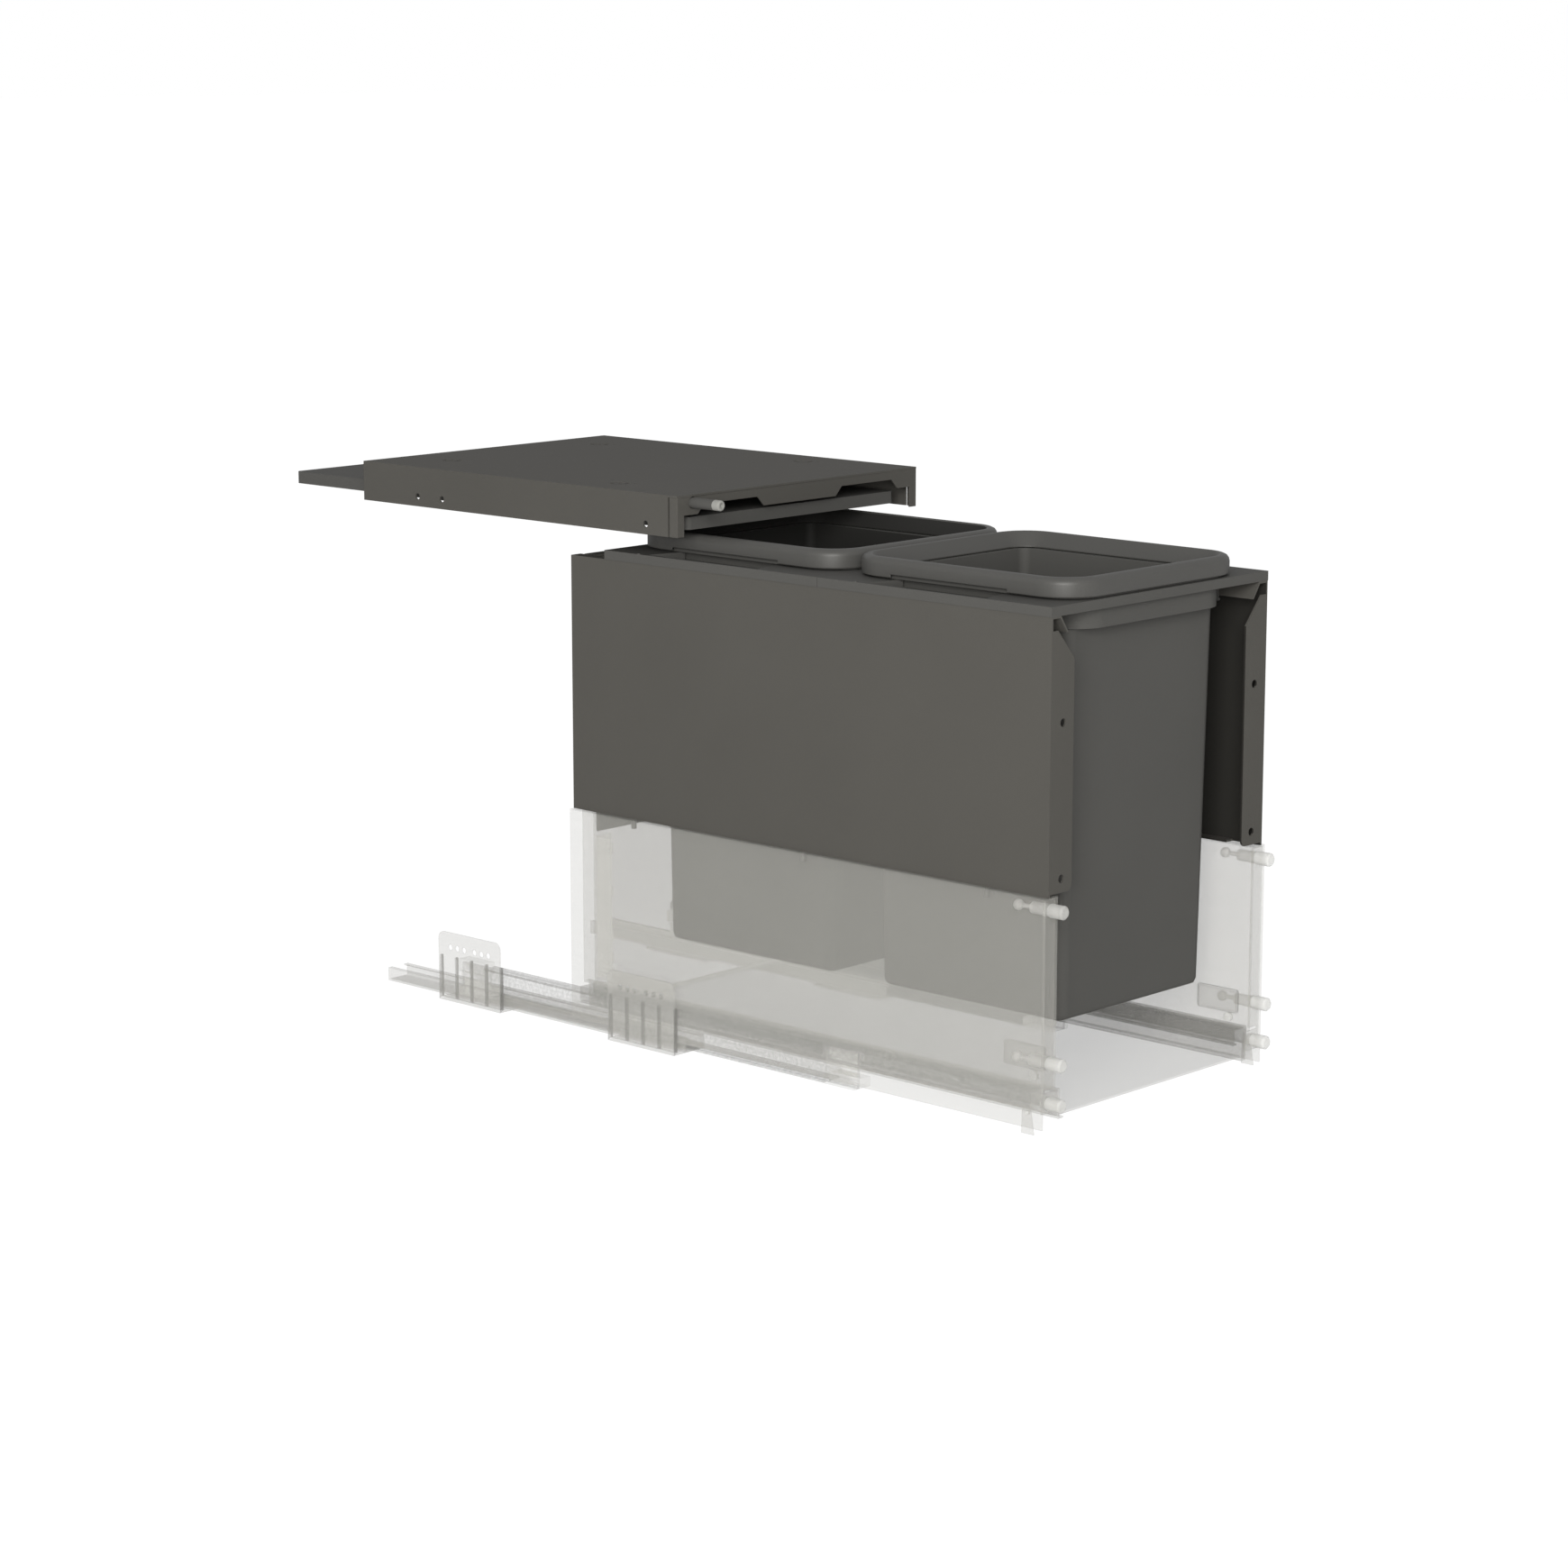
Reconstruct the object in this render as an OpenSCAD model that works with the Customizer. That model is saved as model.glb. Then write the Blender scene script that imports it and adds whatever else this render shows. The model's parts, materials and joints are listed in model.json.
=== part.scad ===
// Pull-out waste sorter for a narrow base cabinet, with the drawer standing part way out.
// X runs across the cabinet, Y from its front edge to the back, Z up from the bracket feet.
// Every side piece is drawn for the right-hand side and mirrored for the left.

/* [Cabinet] */
// Clear width between the side walls of the cabinet
inside_w = 267; // [264:1:290]
// How far the drawer's front stands out of the cabinet
pull = 346; // [340:1:352]

/* [Wall brackets] */
// Length of a bracket along the cabinet wall
bracket_len = 71; // [66:1:74]
// Height of a bracket
bracket_h = 56; // [50:1:58]
// Width of the foot that carries the rail
bracket_foot = 33; // [32:0.5:36]
// Thickness of the bracket plate
bracket_t = 1.5; // [1.2:0.1:1.7]
// Thickness of the bracket's foot
foot_t = 1.8; // [1.5:0.1:2.2]
// Distance of the first row of system holes from the cabinet's front edge
first_hole = 37; // [34:1:40]
// Distance between the front and the rear bracket
bracket_spacing = 192; // [160:32:224]
// Radius of a screw hole in a bracket
bracket_hole_r = 2.5; // [2:0.1:2.8]
// Distance between neighbouring holes of a group of three
hole_pitch = 8; // [7:0.5:8.5]
// Height of the screw holes above the foot
bracket_hole_z = 44; // [42:0.5:45]
// Number of stiffening ribs on a bracket
rib_count = 5; // [3:1:6]

/* [Runners] */
// Length of the rail fixed to the cabinet
rail_len = 337; // [320:1:360]
// Width of the rail
rail_w = 21.2; // [21:0.1:22]
// Height of the rail
rail_h = 10.7; // [10:0.1:11]
// Sheet thickness of the runner members
runner_t = 1.2; // [1:0.1:1.3]
// Length of the middle member that runs between rail and drawer
middle_len = 424; // [400:1:450]
// Width of the member fixed in the drawer side
member_w = 15.6; // [15.2:0.1:16]
// Length of a plastic glide at an end of the middle member
glide_len = 30; // [20:1:36]

/* [Drawer] */
// Depth of the drawer behind its trays
drawer_tail = 36.5; // [34:0.5:50]
// Gap between the cabinet wall and the drawer side
side_gap = 5.9; // [5.8:0.1:6.4]
// Thickness of the hollow drawer side
side_t = 14.4; // [14:0.1:16]
// Thickness of the wider base of the drawer side
base_t = 19.6; // [19.2:0.1:21]
// Sheet thickness of the drawer
skin = 1.2; // [1:0.1:1.3]
// Height of the drawer side's top edge
drawer_top = 174; // [168:1:180]
// Height of the step above the base of the drawer side
base_top = 36; // [35.5:0.1:38]
// Height of the drawer side's outer lower edge
skirt_z = 9; // [8:0.1:10]
// Height of the underside of the drawer floor's ledge
floor_z = 14; // [13.6:0.1:14.6]
// Thickness of the drawer floor
floor_t = 1.6; // [1.2:0.1:3]

/* [Front fixings] */
// Radius of the plug that enters the drawer front
plug_r = 5; // [4:0.1:5.4]
// How far a plug stands out of the drawer's front plane
plug_out = 12; // [8:0.5:14]
// Height of the upper plug
plug_high = 165; // [150:1:166]
// Height of the middle plug
plug_mid = 56; // [54:1:70]
// Height of the lower plug
plug_low = 27; // [26:0.5:28]

/* [Carrier] */
// Height of the dark side panel
panel_h = 196; // [180:1:210]
// Gap between the cabinet wall and the dark side panel
panel_gap = 10; // [8.5:0.5:11]
// Sheet thickness of the carrier
panel_t = 1.5; // [1.2:0.1:1.6]
// Width of the flange turned in at the front and the back
flange_w = 25; // [22:0.5:26]
// Radius of a screw hole in the front flange
flange_hole_r = 3; // [2:0.1:3.4]
// Distance between the two holes in a front flange
flange_hole_gap = 109.6; // [90:0.1:115]
// Height of the lower flange hole above the panel's lower edge
flange_hole_low = 12; // [9:0.5:20]

/* [Trays] */
// Thickness of the tray's edge
tray_h = 7; // [6:0.1:8]
// Wall thickness of a tray
tray_t = 2.5; // [2:0.1:2.8]
// How far the trays reach behind the rear bag frame
tray_tail = 3.6; // [3:0.1:8]
// Length of a finger pocket beside a bin
pocket_len = 112; // [70:1:114]
// Depth of a finger pocket
pocket_h = 5.5; // [4:0.1:5.5]

/* [Bins] */
// Distance from the dark side panel to a bag frame
rim_side = 23.2; // [20:0.1:26]
// Outer length of a bin's bag frame
rim_d = 211; // [208:0.5:212]
// Height of a bag frame
rim_h = 11.7; // [10:0.1:12]
// Corner radius of a bag frame
rim_r = 32; // [28:1:40]
// Gap between the two bag frames
rim_gap = 6.5; // [5:0.1:7]
// Height of a bin below its collar flange
bin_depth = 303.5; // [240:0.5:304]
// Wall thickness of a bin
bin_t = 2.2; // [1.8:0.1:3]
// How much narrower the bin is at its bottom, on each side
bin_taper_x = 2.4; // [2:0.1:10]
// How much shorter the bin is at its bottom, at each end
bin_taper_y = 4.7; // [3:0.1:14]

/* [Cover] */
// Depth of the cover shelf
cover_d = 349.5; // [340:0.5:360]
// Height of the cover's top face above the brackets
cover_z = 425.4; // [424:0.1:430]
// Height of the flange turned down at each side
cover_h = 31; // [28:0.5:32]
// Sheet thickness of the cover
cover_t = 1.5; // [1.2:0.1:1.6]
// Radius of a screw hole in the cover's flanges
cover_hole_r = 2.5; // [2:0.1:3]
// Distance of the first flange hole from the cabinet's front edge
cover_hole_first = 34; // [30:1:40]
// Distance from the first to the second flange hole
cover_hole_span = 224; // [200:1:230]
// Distance from the second to the third flange hole
cover_hole_gap = 28; // [20:1:32]

/* [Lid] */
// Distance from the cabinet wall to the lid plate
lid_side = 18.5; // [15:0.5:24]
// Depth of the lid plate
lid_d = 446; // [430:1:450]
// Height of the lid plate's turned-down edge
lid_h = 9.6; // [8:0.1:9.8]
// Sheet thickness of the lid plate
lid_t = 1.5; // [1.2:0.1:2]
// Corner radius of the lid plate
lid_r = 4; // [3:0.5:20]

/* [Damper] */
// Radius of the damper's sleeve
damper_r = 4; // [3.5:0.1:4.2]
// How far the damper's sleeve stands out of the cabinet's front edge
damper_out = 21.6; // [16:0.1:24]
// Length of the sleeve's soft tip
tip_len = 7; // [5:0.1:10]

/* [Hidden] */

// Overrun of a cut past the face it opens
cut = 1;
// Running clearance of a pin in its bore
pin_play = 0.06;
// Seat gap between pieces that lift off each other
seat_gap = 0.2;
// Free gap between pieces that slide past each other
slide_gap = 0.3;
// Facets of a plain round, and of a round inside a hull
$fn = 48;
hull_fn = 32;

// Planes across the cabinet, measured from its middle
wall_x = inside_w / 2;
side_x = wall_x - side_gap;
inner_x = side_x - side_t;
base_x = side_x - base_t;
panel_x = wall_x - panel_gap;
front_y = -pull;
rim_inset = 1.4;
rim_w = 2 * (panel_x - rim_side);
bin_pitch = rim_d + rim_gap;
trays_d = rim_inset + bin_pitch + rim_d + tray_tail;
drawer_d = trays_d + drawer_tail;
back_y = front_y + drawer_d;

// Brackets
bracket_lead = 29.5;
group_gap = 12;
rib_t = 1.6;
rib_out = 2.4;
rib_top = 36;
bracket_round = 6;
hole_offsets = [-2 * hole_pitch, -hole_pitch, 0,
                group_gap, group_gap + hole_pitch, group_gap + 2 * hole_pitch];
bracket_y = [first_hole - bracket_lead, first_hole + bracket_spacing - bracket_lead];

// Rail, middle member and drawer member
rail_play = 1.2;
rail_x = side_x - skin - rail_play;
rail_y = 4;
rail_z = foot_t;
member_x = side_x - skin;
member_top = base_top - skin;
member_h = 12.8;
member_front = 12;
member_end = 8;
member_len = drawer_d - member_front - member_end;
runner_mid_x = member_x - member_w / 2;
member_lip = 2.5;
web_t = 2.4;
foot_play = 0.4;
head_half = 6;
middle_sheet = 1.6;
foot_lift = 1;
middle_z = rail_z + runner_t + foot_lift;
middle_top = member_top - 4 * runner_t;
rail_lip = 3;
closed_lead = 6.5;
middle_y = closed_lead - pull / 2;
rivet_r = 2;
rivet_head_r = 3.2;
rivet_head_h = 0.5;
rivet_inset = 14;

// Drawer
ledge_w = 4;
floor_front = 4;
back_inset = 12;
back_sheet_y = back_y - back_inset;
back_flange = 10;
back_top = drawer_top - 2;
bracket_arm = 17;
hook_h = 8;
hook_w = 6;
hook_t = 2;
corner_low = 40;
corner_high = 152;
// Hooks, as shares of the corner bracket's height
hook_shares = [0.16, 0.32, 0.63, 0.93];

// Front fixings
connector_y = 1;
connector_t = 1.5;
connector_play = 0.2;
plug_chamfer = 1.2;
sleeve_len = 6.3;
body_len = 10.4;
body_r = 4.2;
neck_r = 1.6;
neck_len = 11;
ball_r = 3.9;
plug_in = 8;
plug_x = side_x - plug_in;
plug_heights = [plug_low, plug_mid, plug_high];
stub_len = 5;
stub_r = plug_r - 0.4 * plug_chamfer;
adjuster_y = 10;
adjuster_len = 37;
adjuster_z = 46.8;
adjuster_h = 17.7;
adjuster_t = 1.5;
adjuster_rim = 1.4;
adjuster_round = 2;
adjuster_r = 3.4;
adjuster_bore_r = adjuster_r + pin_play;
adjuster_slot = 1;
adjuster_gap = 0.6;

// Catch lever on the outside of each drawer side
catch_gap = 0.2;
catch_t = 1.2;
catch_y = 13;
catch_z = 20;
catch_pin_r = 1.5;
catch_eye_r = 4;
catch_tab_w = 11;
catch_tab_low = 5;
catch_lean = 1;

// Carrier
panel_low = drawer_top;
panel_top = panel_low + panel_h;
flange_top_gap = 9.9;
flange_chamfer_x = 18;
flange_chamfer_z = 21;
flange_low_gap = 2.2;
flange_round = 5;
flange_hole_in = 13.5;
ledge_drop = 12;
ledge_flat = 8.5;
ledge_slope = 8;
seat_flange = 8;
carrier_back_in = 15;
carrier_back_y = back_y - carrier_back_in;
tongue_h = 18;
back_fold = 12.8;
tongue_play = 0.4;
screw_count = 3;
screw_inset = 60;
screw_r = 2;
screw_head_r = 3.6;
screw_head_h = 2;
screw_len = 10;

// Trays
tray_over = 0.5;
tray_x = panel_x + tray_over;
tray_z = panel_top;
tray_top = tray_z + tray_h;
seam_lead = 0.9;
seam_y = front_y + (trays_d - seam_lead) / 2;
seam_gap = 0.4;
opening_play = 2;
pocket_in = 34;
pocket_edge = 2.6;
pocket_skew = 8.5;
pocket_start = 58.5;
pocket_floor = 1.5;
nib_h = 0.5;
hook_drop = 15;
hook_thick = 2;
hook_nose = 1.6;
hook_len = 14;
hook_inset = 30;

// Bins, measured from the front edge of their bag frame
rim_crest = 7.6;
rim_slope = 7.4;
rim_lip = 1.3;
// Outer round of a bag frame, as shares of its crest's width and of its height
rim_round_shares = [[0, 0.56], [0.07, 0.74], [0.24, 0.89], [0.5, 0.97], [0.79, 1], [1, 0.97]];
flange_in_x = 4.3;
flange_in_y = 2.2;
skirt_t = flange_in_y - slide_gap;
collar_in_x = 12.3;
collar_in_y = 3.9;
collar_h = 22;
collar_step_x = 4;
collar_step_y = 11.6;
bin_flange_h = 3.5;
skirt_lift = 1.5;
skirt_h = bin_flange_h + seat_gap - skirt_lift;
rim_section = concat(
  [[0, -skirt_h]],
  [for (s = rim_round_shares) [s[0] * rim_crest, s[1] * rim_h]],
  [[rim_crest + rim_slope, rim_lip], [rim_crest + rim_slope, 0],
   [skirt_t, 0], [skirt_t, -skirt_h]]
);
bin_flange_low = tray_top + seat_gap;
bin_low = bin_flange_low - bin_depth;
bin_foot_r = 5;
bin_corner = 9;

// Cover, front frame and lid
cover_low = cover_z - cover_h;
cover_front_gap = 10.7;
cover_lip = 1;
cover_hole_z = 7.8;
frame_y = 1;
frame_cap_w = 7.5;
frame_cap_d = 8.2;
frame_bar_h = 13.6;
frame_cut_h = 7.2;
frame_cut_in = 40;
frame_cut_out = 111.5;
frame_cut_slope = 7;
dimple_r = 9.2;
dimple_floor_r = 5.4;
dimple_h = 2.2;
vent_r = 1.2;
vent_dx = 6;
vent_dy = -11;
lid_y = 8;
lid_w = 2 * (wall_x - lid_side);
lid_drop = 17.8;
lid_top = cover_z - lid_drop;
lid_low = lid_top - lid_h;
// Guide screws, as shares of the half width and the depth of the cover
guide_shares = [[0.764, 0.264], [0.614, 0.864]];
guide_points = [for (s = guide_shares) [s[0] * wall_x, s[1] * cover_d]];
guide_r = 3;
guide_head_h = 2;
bush_r = 6;
bush_h = 12;
guide_end = lid_low + 1.5 * lid_t;

// Damper through the cover's front frame
damper_side = 16.5;
damper_x = damper_side - wall_x;
damper_gap = 0.6;
damper_z = cover_z - cover_t - damper_r - damper_gap;
damper_back = 60;
anchor_len = 8;
rod_r = 2.2;
rod_front = -6;
plunger_back = 40;
damper_wall = 2;
tip_chamfer = 0.8;
tip_bore_r = 1.8;

// Plate with rounded corners, drawn flat around its middle
module rounded(w, d, r) {
  union() {
    square([w - 2 * r, d], center = true);
    square([w, d - 2 * r], center = true);
    for (x = [-1, 1])
      for (y = [-1, 1])
        translate([x * (w / 2 - r), y * (d / 2 - r)])
          circle(r);
  }
}

// Rounded slab from y0 to y1, with its lower face at z
module slab(w, y0, y1, r, z, h) {
  translate([0, (y0 + y1) / 2, z])
    linear_extrude(h)
      rounded(w, y1 - y0, r);
}

// Block between two corners
module block(low, high) {
  translate(low)
    cube(high - low);
}

// Round bar along X from x0 to x1
module bar_x(x0, x1, y, z, r) {
  translate([x0, y, z])
    rotate([0, 90, 0])
      cylinder(h = x1 - x0, r = r);
}

// Round bar along Y from y0 to y1
module bar_y(x, y0, y1, z, r) {
  translate([x, y0, z])
    rotate([-90, 0, 0])
      cylinder(h = y1 - y0, r = r);
}

module left() {
  mirror([1, 0, 0])
    children();
}

// Wall bracket: plate with two groups of three holes, ribs, and a foot under the rail
module bracket(y0, hole_y) {
  color("#d8d8d4")
    difference() {
      union() {
        translate([wall_x - bracket_t, y0 + bracket_len / 2, bracket_h / 2])
          rotate([90, 0, 90])
            linear_extrude(bracket_t)
              rounded(bracket_len, bracket_h, bracket_round);
        block([wall_x - bracket_t, y0, 0],
              [wall_x, y0 + bracket_len, bracket_h - bracket_round]);
        block([wall_x - bracket_foot, y0, 0], [wall_x, y0 + bracket_len, foot_t]);
        for (i = [0 : rib_count - 1])
          let (y = y0 + i * (bracket_len - rib_t) / (rib_count - 1))
            block([wall_x - bracket_t - rib_out, y, 0],
                  [wall_x - bracket_t / 2, y + rib_t, rib_top]);
      }
      for (offset_y = hole_offsets)
        bar_x(wall_x - bracket_t - rib_out - cut, wall_x + cut, hole_y + offset_y,
              bracket_hole_z, bracket_hole_r);
      for (y = [y0 + rivet_inset, y0 + bracket_len - rivet_inset])
        translate([rail_x - rail_w / 2, y, -cut])
          cylinder(h = foot_t + 2 * cut, r = rivet_r);
    }
}

// Channel rail on the bracket feet, open at the top for the middle member
module rail() {
  color("#dededa")
    difference() {
      union() {
        block([rail_x - rail_w, rail_y, rail_z],
              [rail_x, rail_y + rail_len, rail_z + runner_t]);
        block([rail_x - runner_t, rail_y, rail_z],
              [rail_x, rail_y + rail_len, rail_z + rail_h]);
        block([rail_x - rail_w, rail_y, rail_z],
              [rail_x - rail_w + runner_t, rail_y + rail_len, rail_z + rail_h]);
        block([rail_x - rail_w, rail_y, rail_z + rail_h - runner_t],
              [rail_x - rail_w + runner_t + rail_lip, rail_y + rail_len, rail_z + rail_h]);
        block([rail_x - runner_t - rail_lip, rail_y, rail_z + rail_h - runner_t],
              [rail_x, rail_y + rail_len, rail_z + rail_h]);
      }
      for (y0 = bracket_y)
        for (y = [y0 + rivet_inset, y0 + bracket_len - rivet_inset])
          translate([rail_x - rail_w / 2, y, rail_z - cut])
            cylinder(h = runner_t + 2 * cut, r = rivet_r);
    }
}

// Rivets that hold the rail on the feet
module rail_rivets() {
  color("#c9c9c5")
    for (y0 = bracket_y)
      for (y = [y0 + rivet_inset, y0 + bracket_len - rivet_inset])
        translate([rail_x - rail_w / 2, y, 0])
          union() {
            cylinder(h = rail_z + runner_t + rivet_head_h / 2, r = rivet_r);
            translate([0, 0, rail_z + runner_t])
              cylinder(h = rivet_head_h, r = rivet_head_r);
          }
}

// Middle member: foot in the rail, web, and head in the drawer member
module middle_member() {
  y1 = middle_y + middle_len;
  color("#d2d2ce")
    union() {
      block([runner_mid_x - web_t / 2, middle_y, middle_z],
            [runner_mid_x + web_t / 2, y1, middle_top]);
      block([rail_x - rail_w + runner_t + foot_play, middle_y + glide_len, middle_z],
            [rail_x - runner_t - foot_play, y1 - glide_len, middle_z + middle_sheet]);
      block([runner_mid_x - head_half, middle_y + glide_len, middle_top - middle_sheet],
            [runner_mid_x + head_half, y1 - glide_len, middle_top]);
    }
}

// Glide shoe that fills the rail and the drawer member at one end of the middle member
module glide(y0) {
  rail_floor = rail_z + runner_t + rivet_head_h + seat_gap;
  rail_roof = rail_z + rail_h - runner_t - slide_gap;
  member_roof = member_top - runner_t - seat_gap;
  member_floor = member_top - member_h + runner_t + slide_gap;
  y1 = y0 + glide_len;
  difference() {
    union() {
      block([rail_x - rail_w + runner_t + foot_play, y0, rail_floor],
            [rail_x - runner_t - foot_play, y1, rail_roof]);
      block([runner_mid_x - head_half, y0, member_floor],
            [runner_mid_x + head_half, y1, member_roof]);
      block([runner_mid_x - web_t, y0, rail_floor], [runner_mid_x + web_t, y1, member_roof]);
    }
    block([runner_mid_x - web_t / 2, y0 - cut, middle_z],
          [runner_mid_x + web_t / 2, y1 + cut, middle_top]);
  }
}

module middle_glides() {
  color("#e6e6e2") {
    glide(middle_y);
    glide(middle_y + middle_len - glide_len);
  }
}

// Upside-down channel held inside the base of the drawer side
module drawer_member() {
  y0 = front_y + member_front;
  y1 = y0 + member_len;
  low = member_top - member_h;
  x0 = member_x - member_w;
  color("#dededa")
    union() {
      block([x0, y0, member_top - runner_t], [member_x, y1, member_top]);
      block([member_x - runner_t, y0, low], [member_x, y1, member_top]);
      block([x0, y0, low], [x0 + runner_t, y1, member_top]);
      block([x0, y0, low], [x0 + member_lip + runner_t, y1, low + runner_t]);
      block([member_x - member_lip - runner_t, y0, low], [member_x, y1, low + runner_t]);
    }
}

// Hollow double-walled drawer side with a wider base over the runner
module drawer_side() {
  color("#f0f0ec")
    difference() {
      union() {
        block([side_x - skin, front_y, skirt_z], [side_x, back_y, drawer_top]);
        block([inner_x, front_y, drawer_top - skin], [side_x, back_y, drawer_top]);
        block([inner_x, front_y, base_top - skin], [inner_x + skin, back_y, drawer_top]);
        block([base_x, front_y, base_top - skin], [inner_x + skin, back_y, base_top]);
        block([base_x, front_y, floor_z], [base_x + skin, back_y, base_top]);
        block([base_x - ledge_w, front_y, floor_z], [base_x + skin, back_y, floor_z + skin]);
      }
      for (y = screw_rows())
        translate([panel_x - panel_t - seat_flange / 2, y, drawer_top - skin - cut])
          cylinder(h = skin + 2 * cut, r = screw_r + pin_play);
      bar_x(side_x - skin - cut, side_x + cut, front_y + catch_y, catch_z, catch_pin_r);
      bar_x(inner_x - cut, inner_x + skin + cut, front_y + adjuster_y + adjuster_len / 4,
            adjuster_z - adjuster_gap - adjuster_r, adjuster_bore_r);
    }
}

function screw_rows() =
  [for (i = [0 : screw_count - 1])
    front_y + screw_inset + i * (drawer_d - 2 * screw_inset) / (screw_count - 1)];

module drawer_floor() {
  color("#f4f4f0")
    block([-base_x, front_y + floor_front, floor_z + skin],
          [base_x, back_sheet_y, floor_z + skin + floor_t]);
}

// Back wall of the drawer, stepped round the wider bases, with a turned-back top edge
module drawer_back() {
  color("#f0f0ec")
    union() {
      block([-base_x, back_sheet_y, floor_z + skin],
            [base_x, back_sheet_y + skin, base_top]);
      block([-inner_x, back_sheet_y, base_top - skin], [inner_x, back_sheet_y + skin, back_top]);
      block([-inner_x, back_sheet_y, back_top - skin],
            [inner_x, back_sheet_y + back_flange, back_top]);
      block([-base_x, back_sheet_y, floor_z + skin],
            [base_x, back_sheet_y + back_flange, floor_z + 2 * skin]);
    }
}

// Corner bracket that ties the back wall to the drawer side, with four hooks
module back_bracket() {
  y0 = back_sheet_y - bracket_arm;
  color("#cfcfca")
    union() {
      block([inner_x - skin, y0, corner_low], [inner_x, back_sheet_y, corner_high]);
      block([inner_x - bracket_arm, back_sheet_y - skin, corner_low],
            [inner_x, back_sheet_y, corner_high]);
      for (share = hook_shares)
        let (z = corner_low + share * (corner_high - corner_low))
          block([inner_x - skin - hook_t, y0, z - hook_h / 2],
                [inner_x - skin / 2, y0 + hook_w, z + hook_h / 2]);
    }
}

// Plate inside the front end of the drawer side that holds the plugs
module front_connector() {
  y0 = front_y + connector_y;
  color("#d6d6d2")
    difference() {
      union() {
        block([inner_x + skin + connector_play, y0, base_top + skin],
              [side_x - skin, y0 + connector_t, drawer_top - skin]);
        block([base_x + skin + connector_play, y0, plug_low - 1.4 * plug_r],
              [side_x - skin, y0 + connector_t, base_top - skin]);
        block([side_x - skin - connector_t, y0, plug_low - 1.4 * plug_r],
              [side_x - skin, y0 + connector_t, drawer_top - skin]);
      }
      for (z = plug_heights)
        bar_y(plug_x, y0 - cut, y0 + connector_t + cut, z, stub_r + pin_play);
    }
}

// Plug with a chamfered end and a slimmer shank behind the drawer's front plane
module plug(shank) {
  rotate([-90, 0, 0])
    union() {
      cylinder(h = plug_chamfer, r1 = plug_r - plug_chamfer, r2 = plug_r);
      translate([0, 0, plug_chamfer])
        cylinder(h = plug_out - plug_chamfer, r = plug_r);
      cylinder(h = plug_out + shank, r = stub_r - plug_chamfer);
      translate([0, 0, plug_out])
        cylinder(h = shank, r = stub_r);
    }
}

// Plug, body, neck and ball head of a long front fixing
module front_fixing(z) {
  translate([plug_x, front_y - plug_out, z]) {
    plug(sleeve_len);
    translate([0, plug_out + sleeve_len, 0])
      rotate([-90, 0, 0])
        union() {
          cylinder(h = body_len, r = body_r);
          translate([0, 0, -sleeve_len / 2])
            cylinder(h = sleeve_len / 2 + body_len + neck_len, r = neck_r);
          translate([0, 0, body_len + neck_len + ball_r / 2])
            sphere(ball_r);
        }
  }
}

module front_plugs() {
  color("#bcbcb8") {
    front_fixing(plug_high);
    front_fixing(plug_mid);
    translate([plug_x, front_y - plug_out, plug_low])
      plug(stub_len);
  }
}

// Cover plate with rounded corners and a raised rim
module adjuster_cover() {
  y0 = front_y + adjuster_y;
  color("#c4c4c0")
    difference() {
      translate([inner_x - adjuster_t, y0 + adjuster_len / 2, adjuster_z + adjuster_h / 2])
        rotate([90, 0, 90])
          linear_extrude(adjuster_t)
            rounded(adjuster_len, adjuster_h, adjuster_round);
      block([inner_x - adjuster_t - cut, y0 + adjuster_rim, adjuster_z + adjuster_rim],
            [inner_x - adjuster_t / 2, y0 + adjuster_len - adjuster_rim,
             adjuster_z + adjuster_h - adjuster_rim]);
    }
}

// Slotted cam below the cover plate
module adjuster_screw() {
  y = front_y + adjuster_y + adjuster_len / 4;
  z = adjuster_z - adjuster_gap - adjuster_r;
  color("#8c8c88")
    difference() {
      bar_x(inner_x - adjuster_t, inner_x + skin, y, z, adjuster_r);
      block([inner_x - adjuster_t - cut, y - adjuster_r - cut, z - adjuster_slot / 2],
            [inner_x - adjuster_t / 2, y + adjuster_r + cut, z + adjuster_slot / 2]);
    }
}

// Release lever that hangs on a pin outside the drawer side
module catch_lever() {
  x0 = side_x + catch_gap;
  y = front_y + catch_y;
  color("#b4b4b0")
    difference() {
      union() {
        bar_x(x0, x0 + catch_t, y, catch_z, catch_eye_r);
        translate([x0, 0, 0])
          rotate([90, 0, 90])
            linear_extrude(catch_t)
              polygon([
                [y - catch_eye_r, catch_z],
                [y + catch_eye_r, catch_z],
                [y - catch_lean + catch_tab_w / 2, catch_tab_low],
                [y - catch_lean - catch_tab_w / 2, catch_tab_low]
              ]);
      }
      bar_x(x0 - cut, x0 + catch_t + cut, y, catch_z, catch_pin_r + pin_play);
    }
}

module catch_pin() {
  color("#9a9a96")
    bar_x(side_x - skin, side_x + catch_gap + catch_t, front_y + catch_y, catch_z, catch_pin_r);
}

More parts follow.
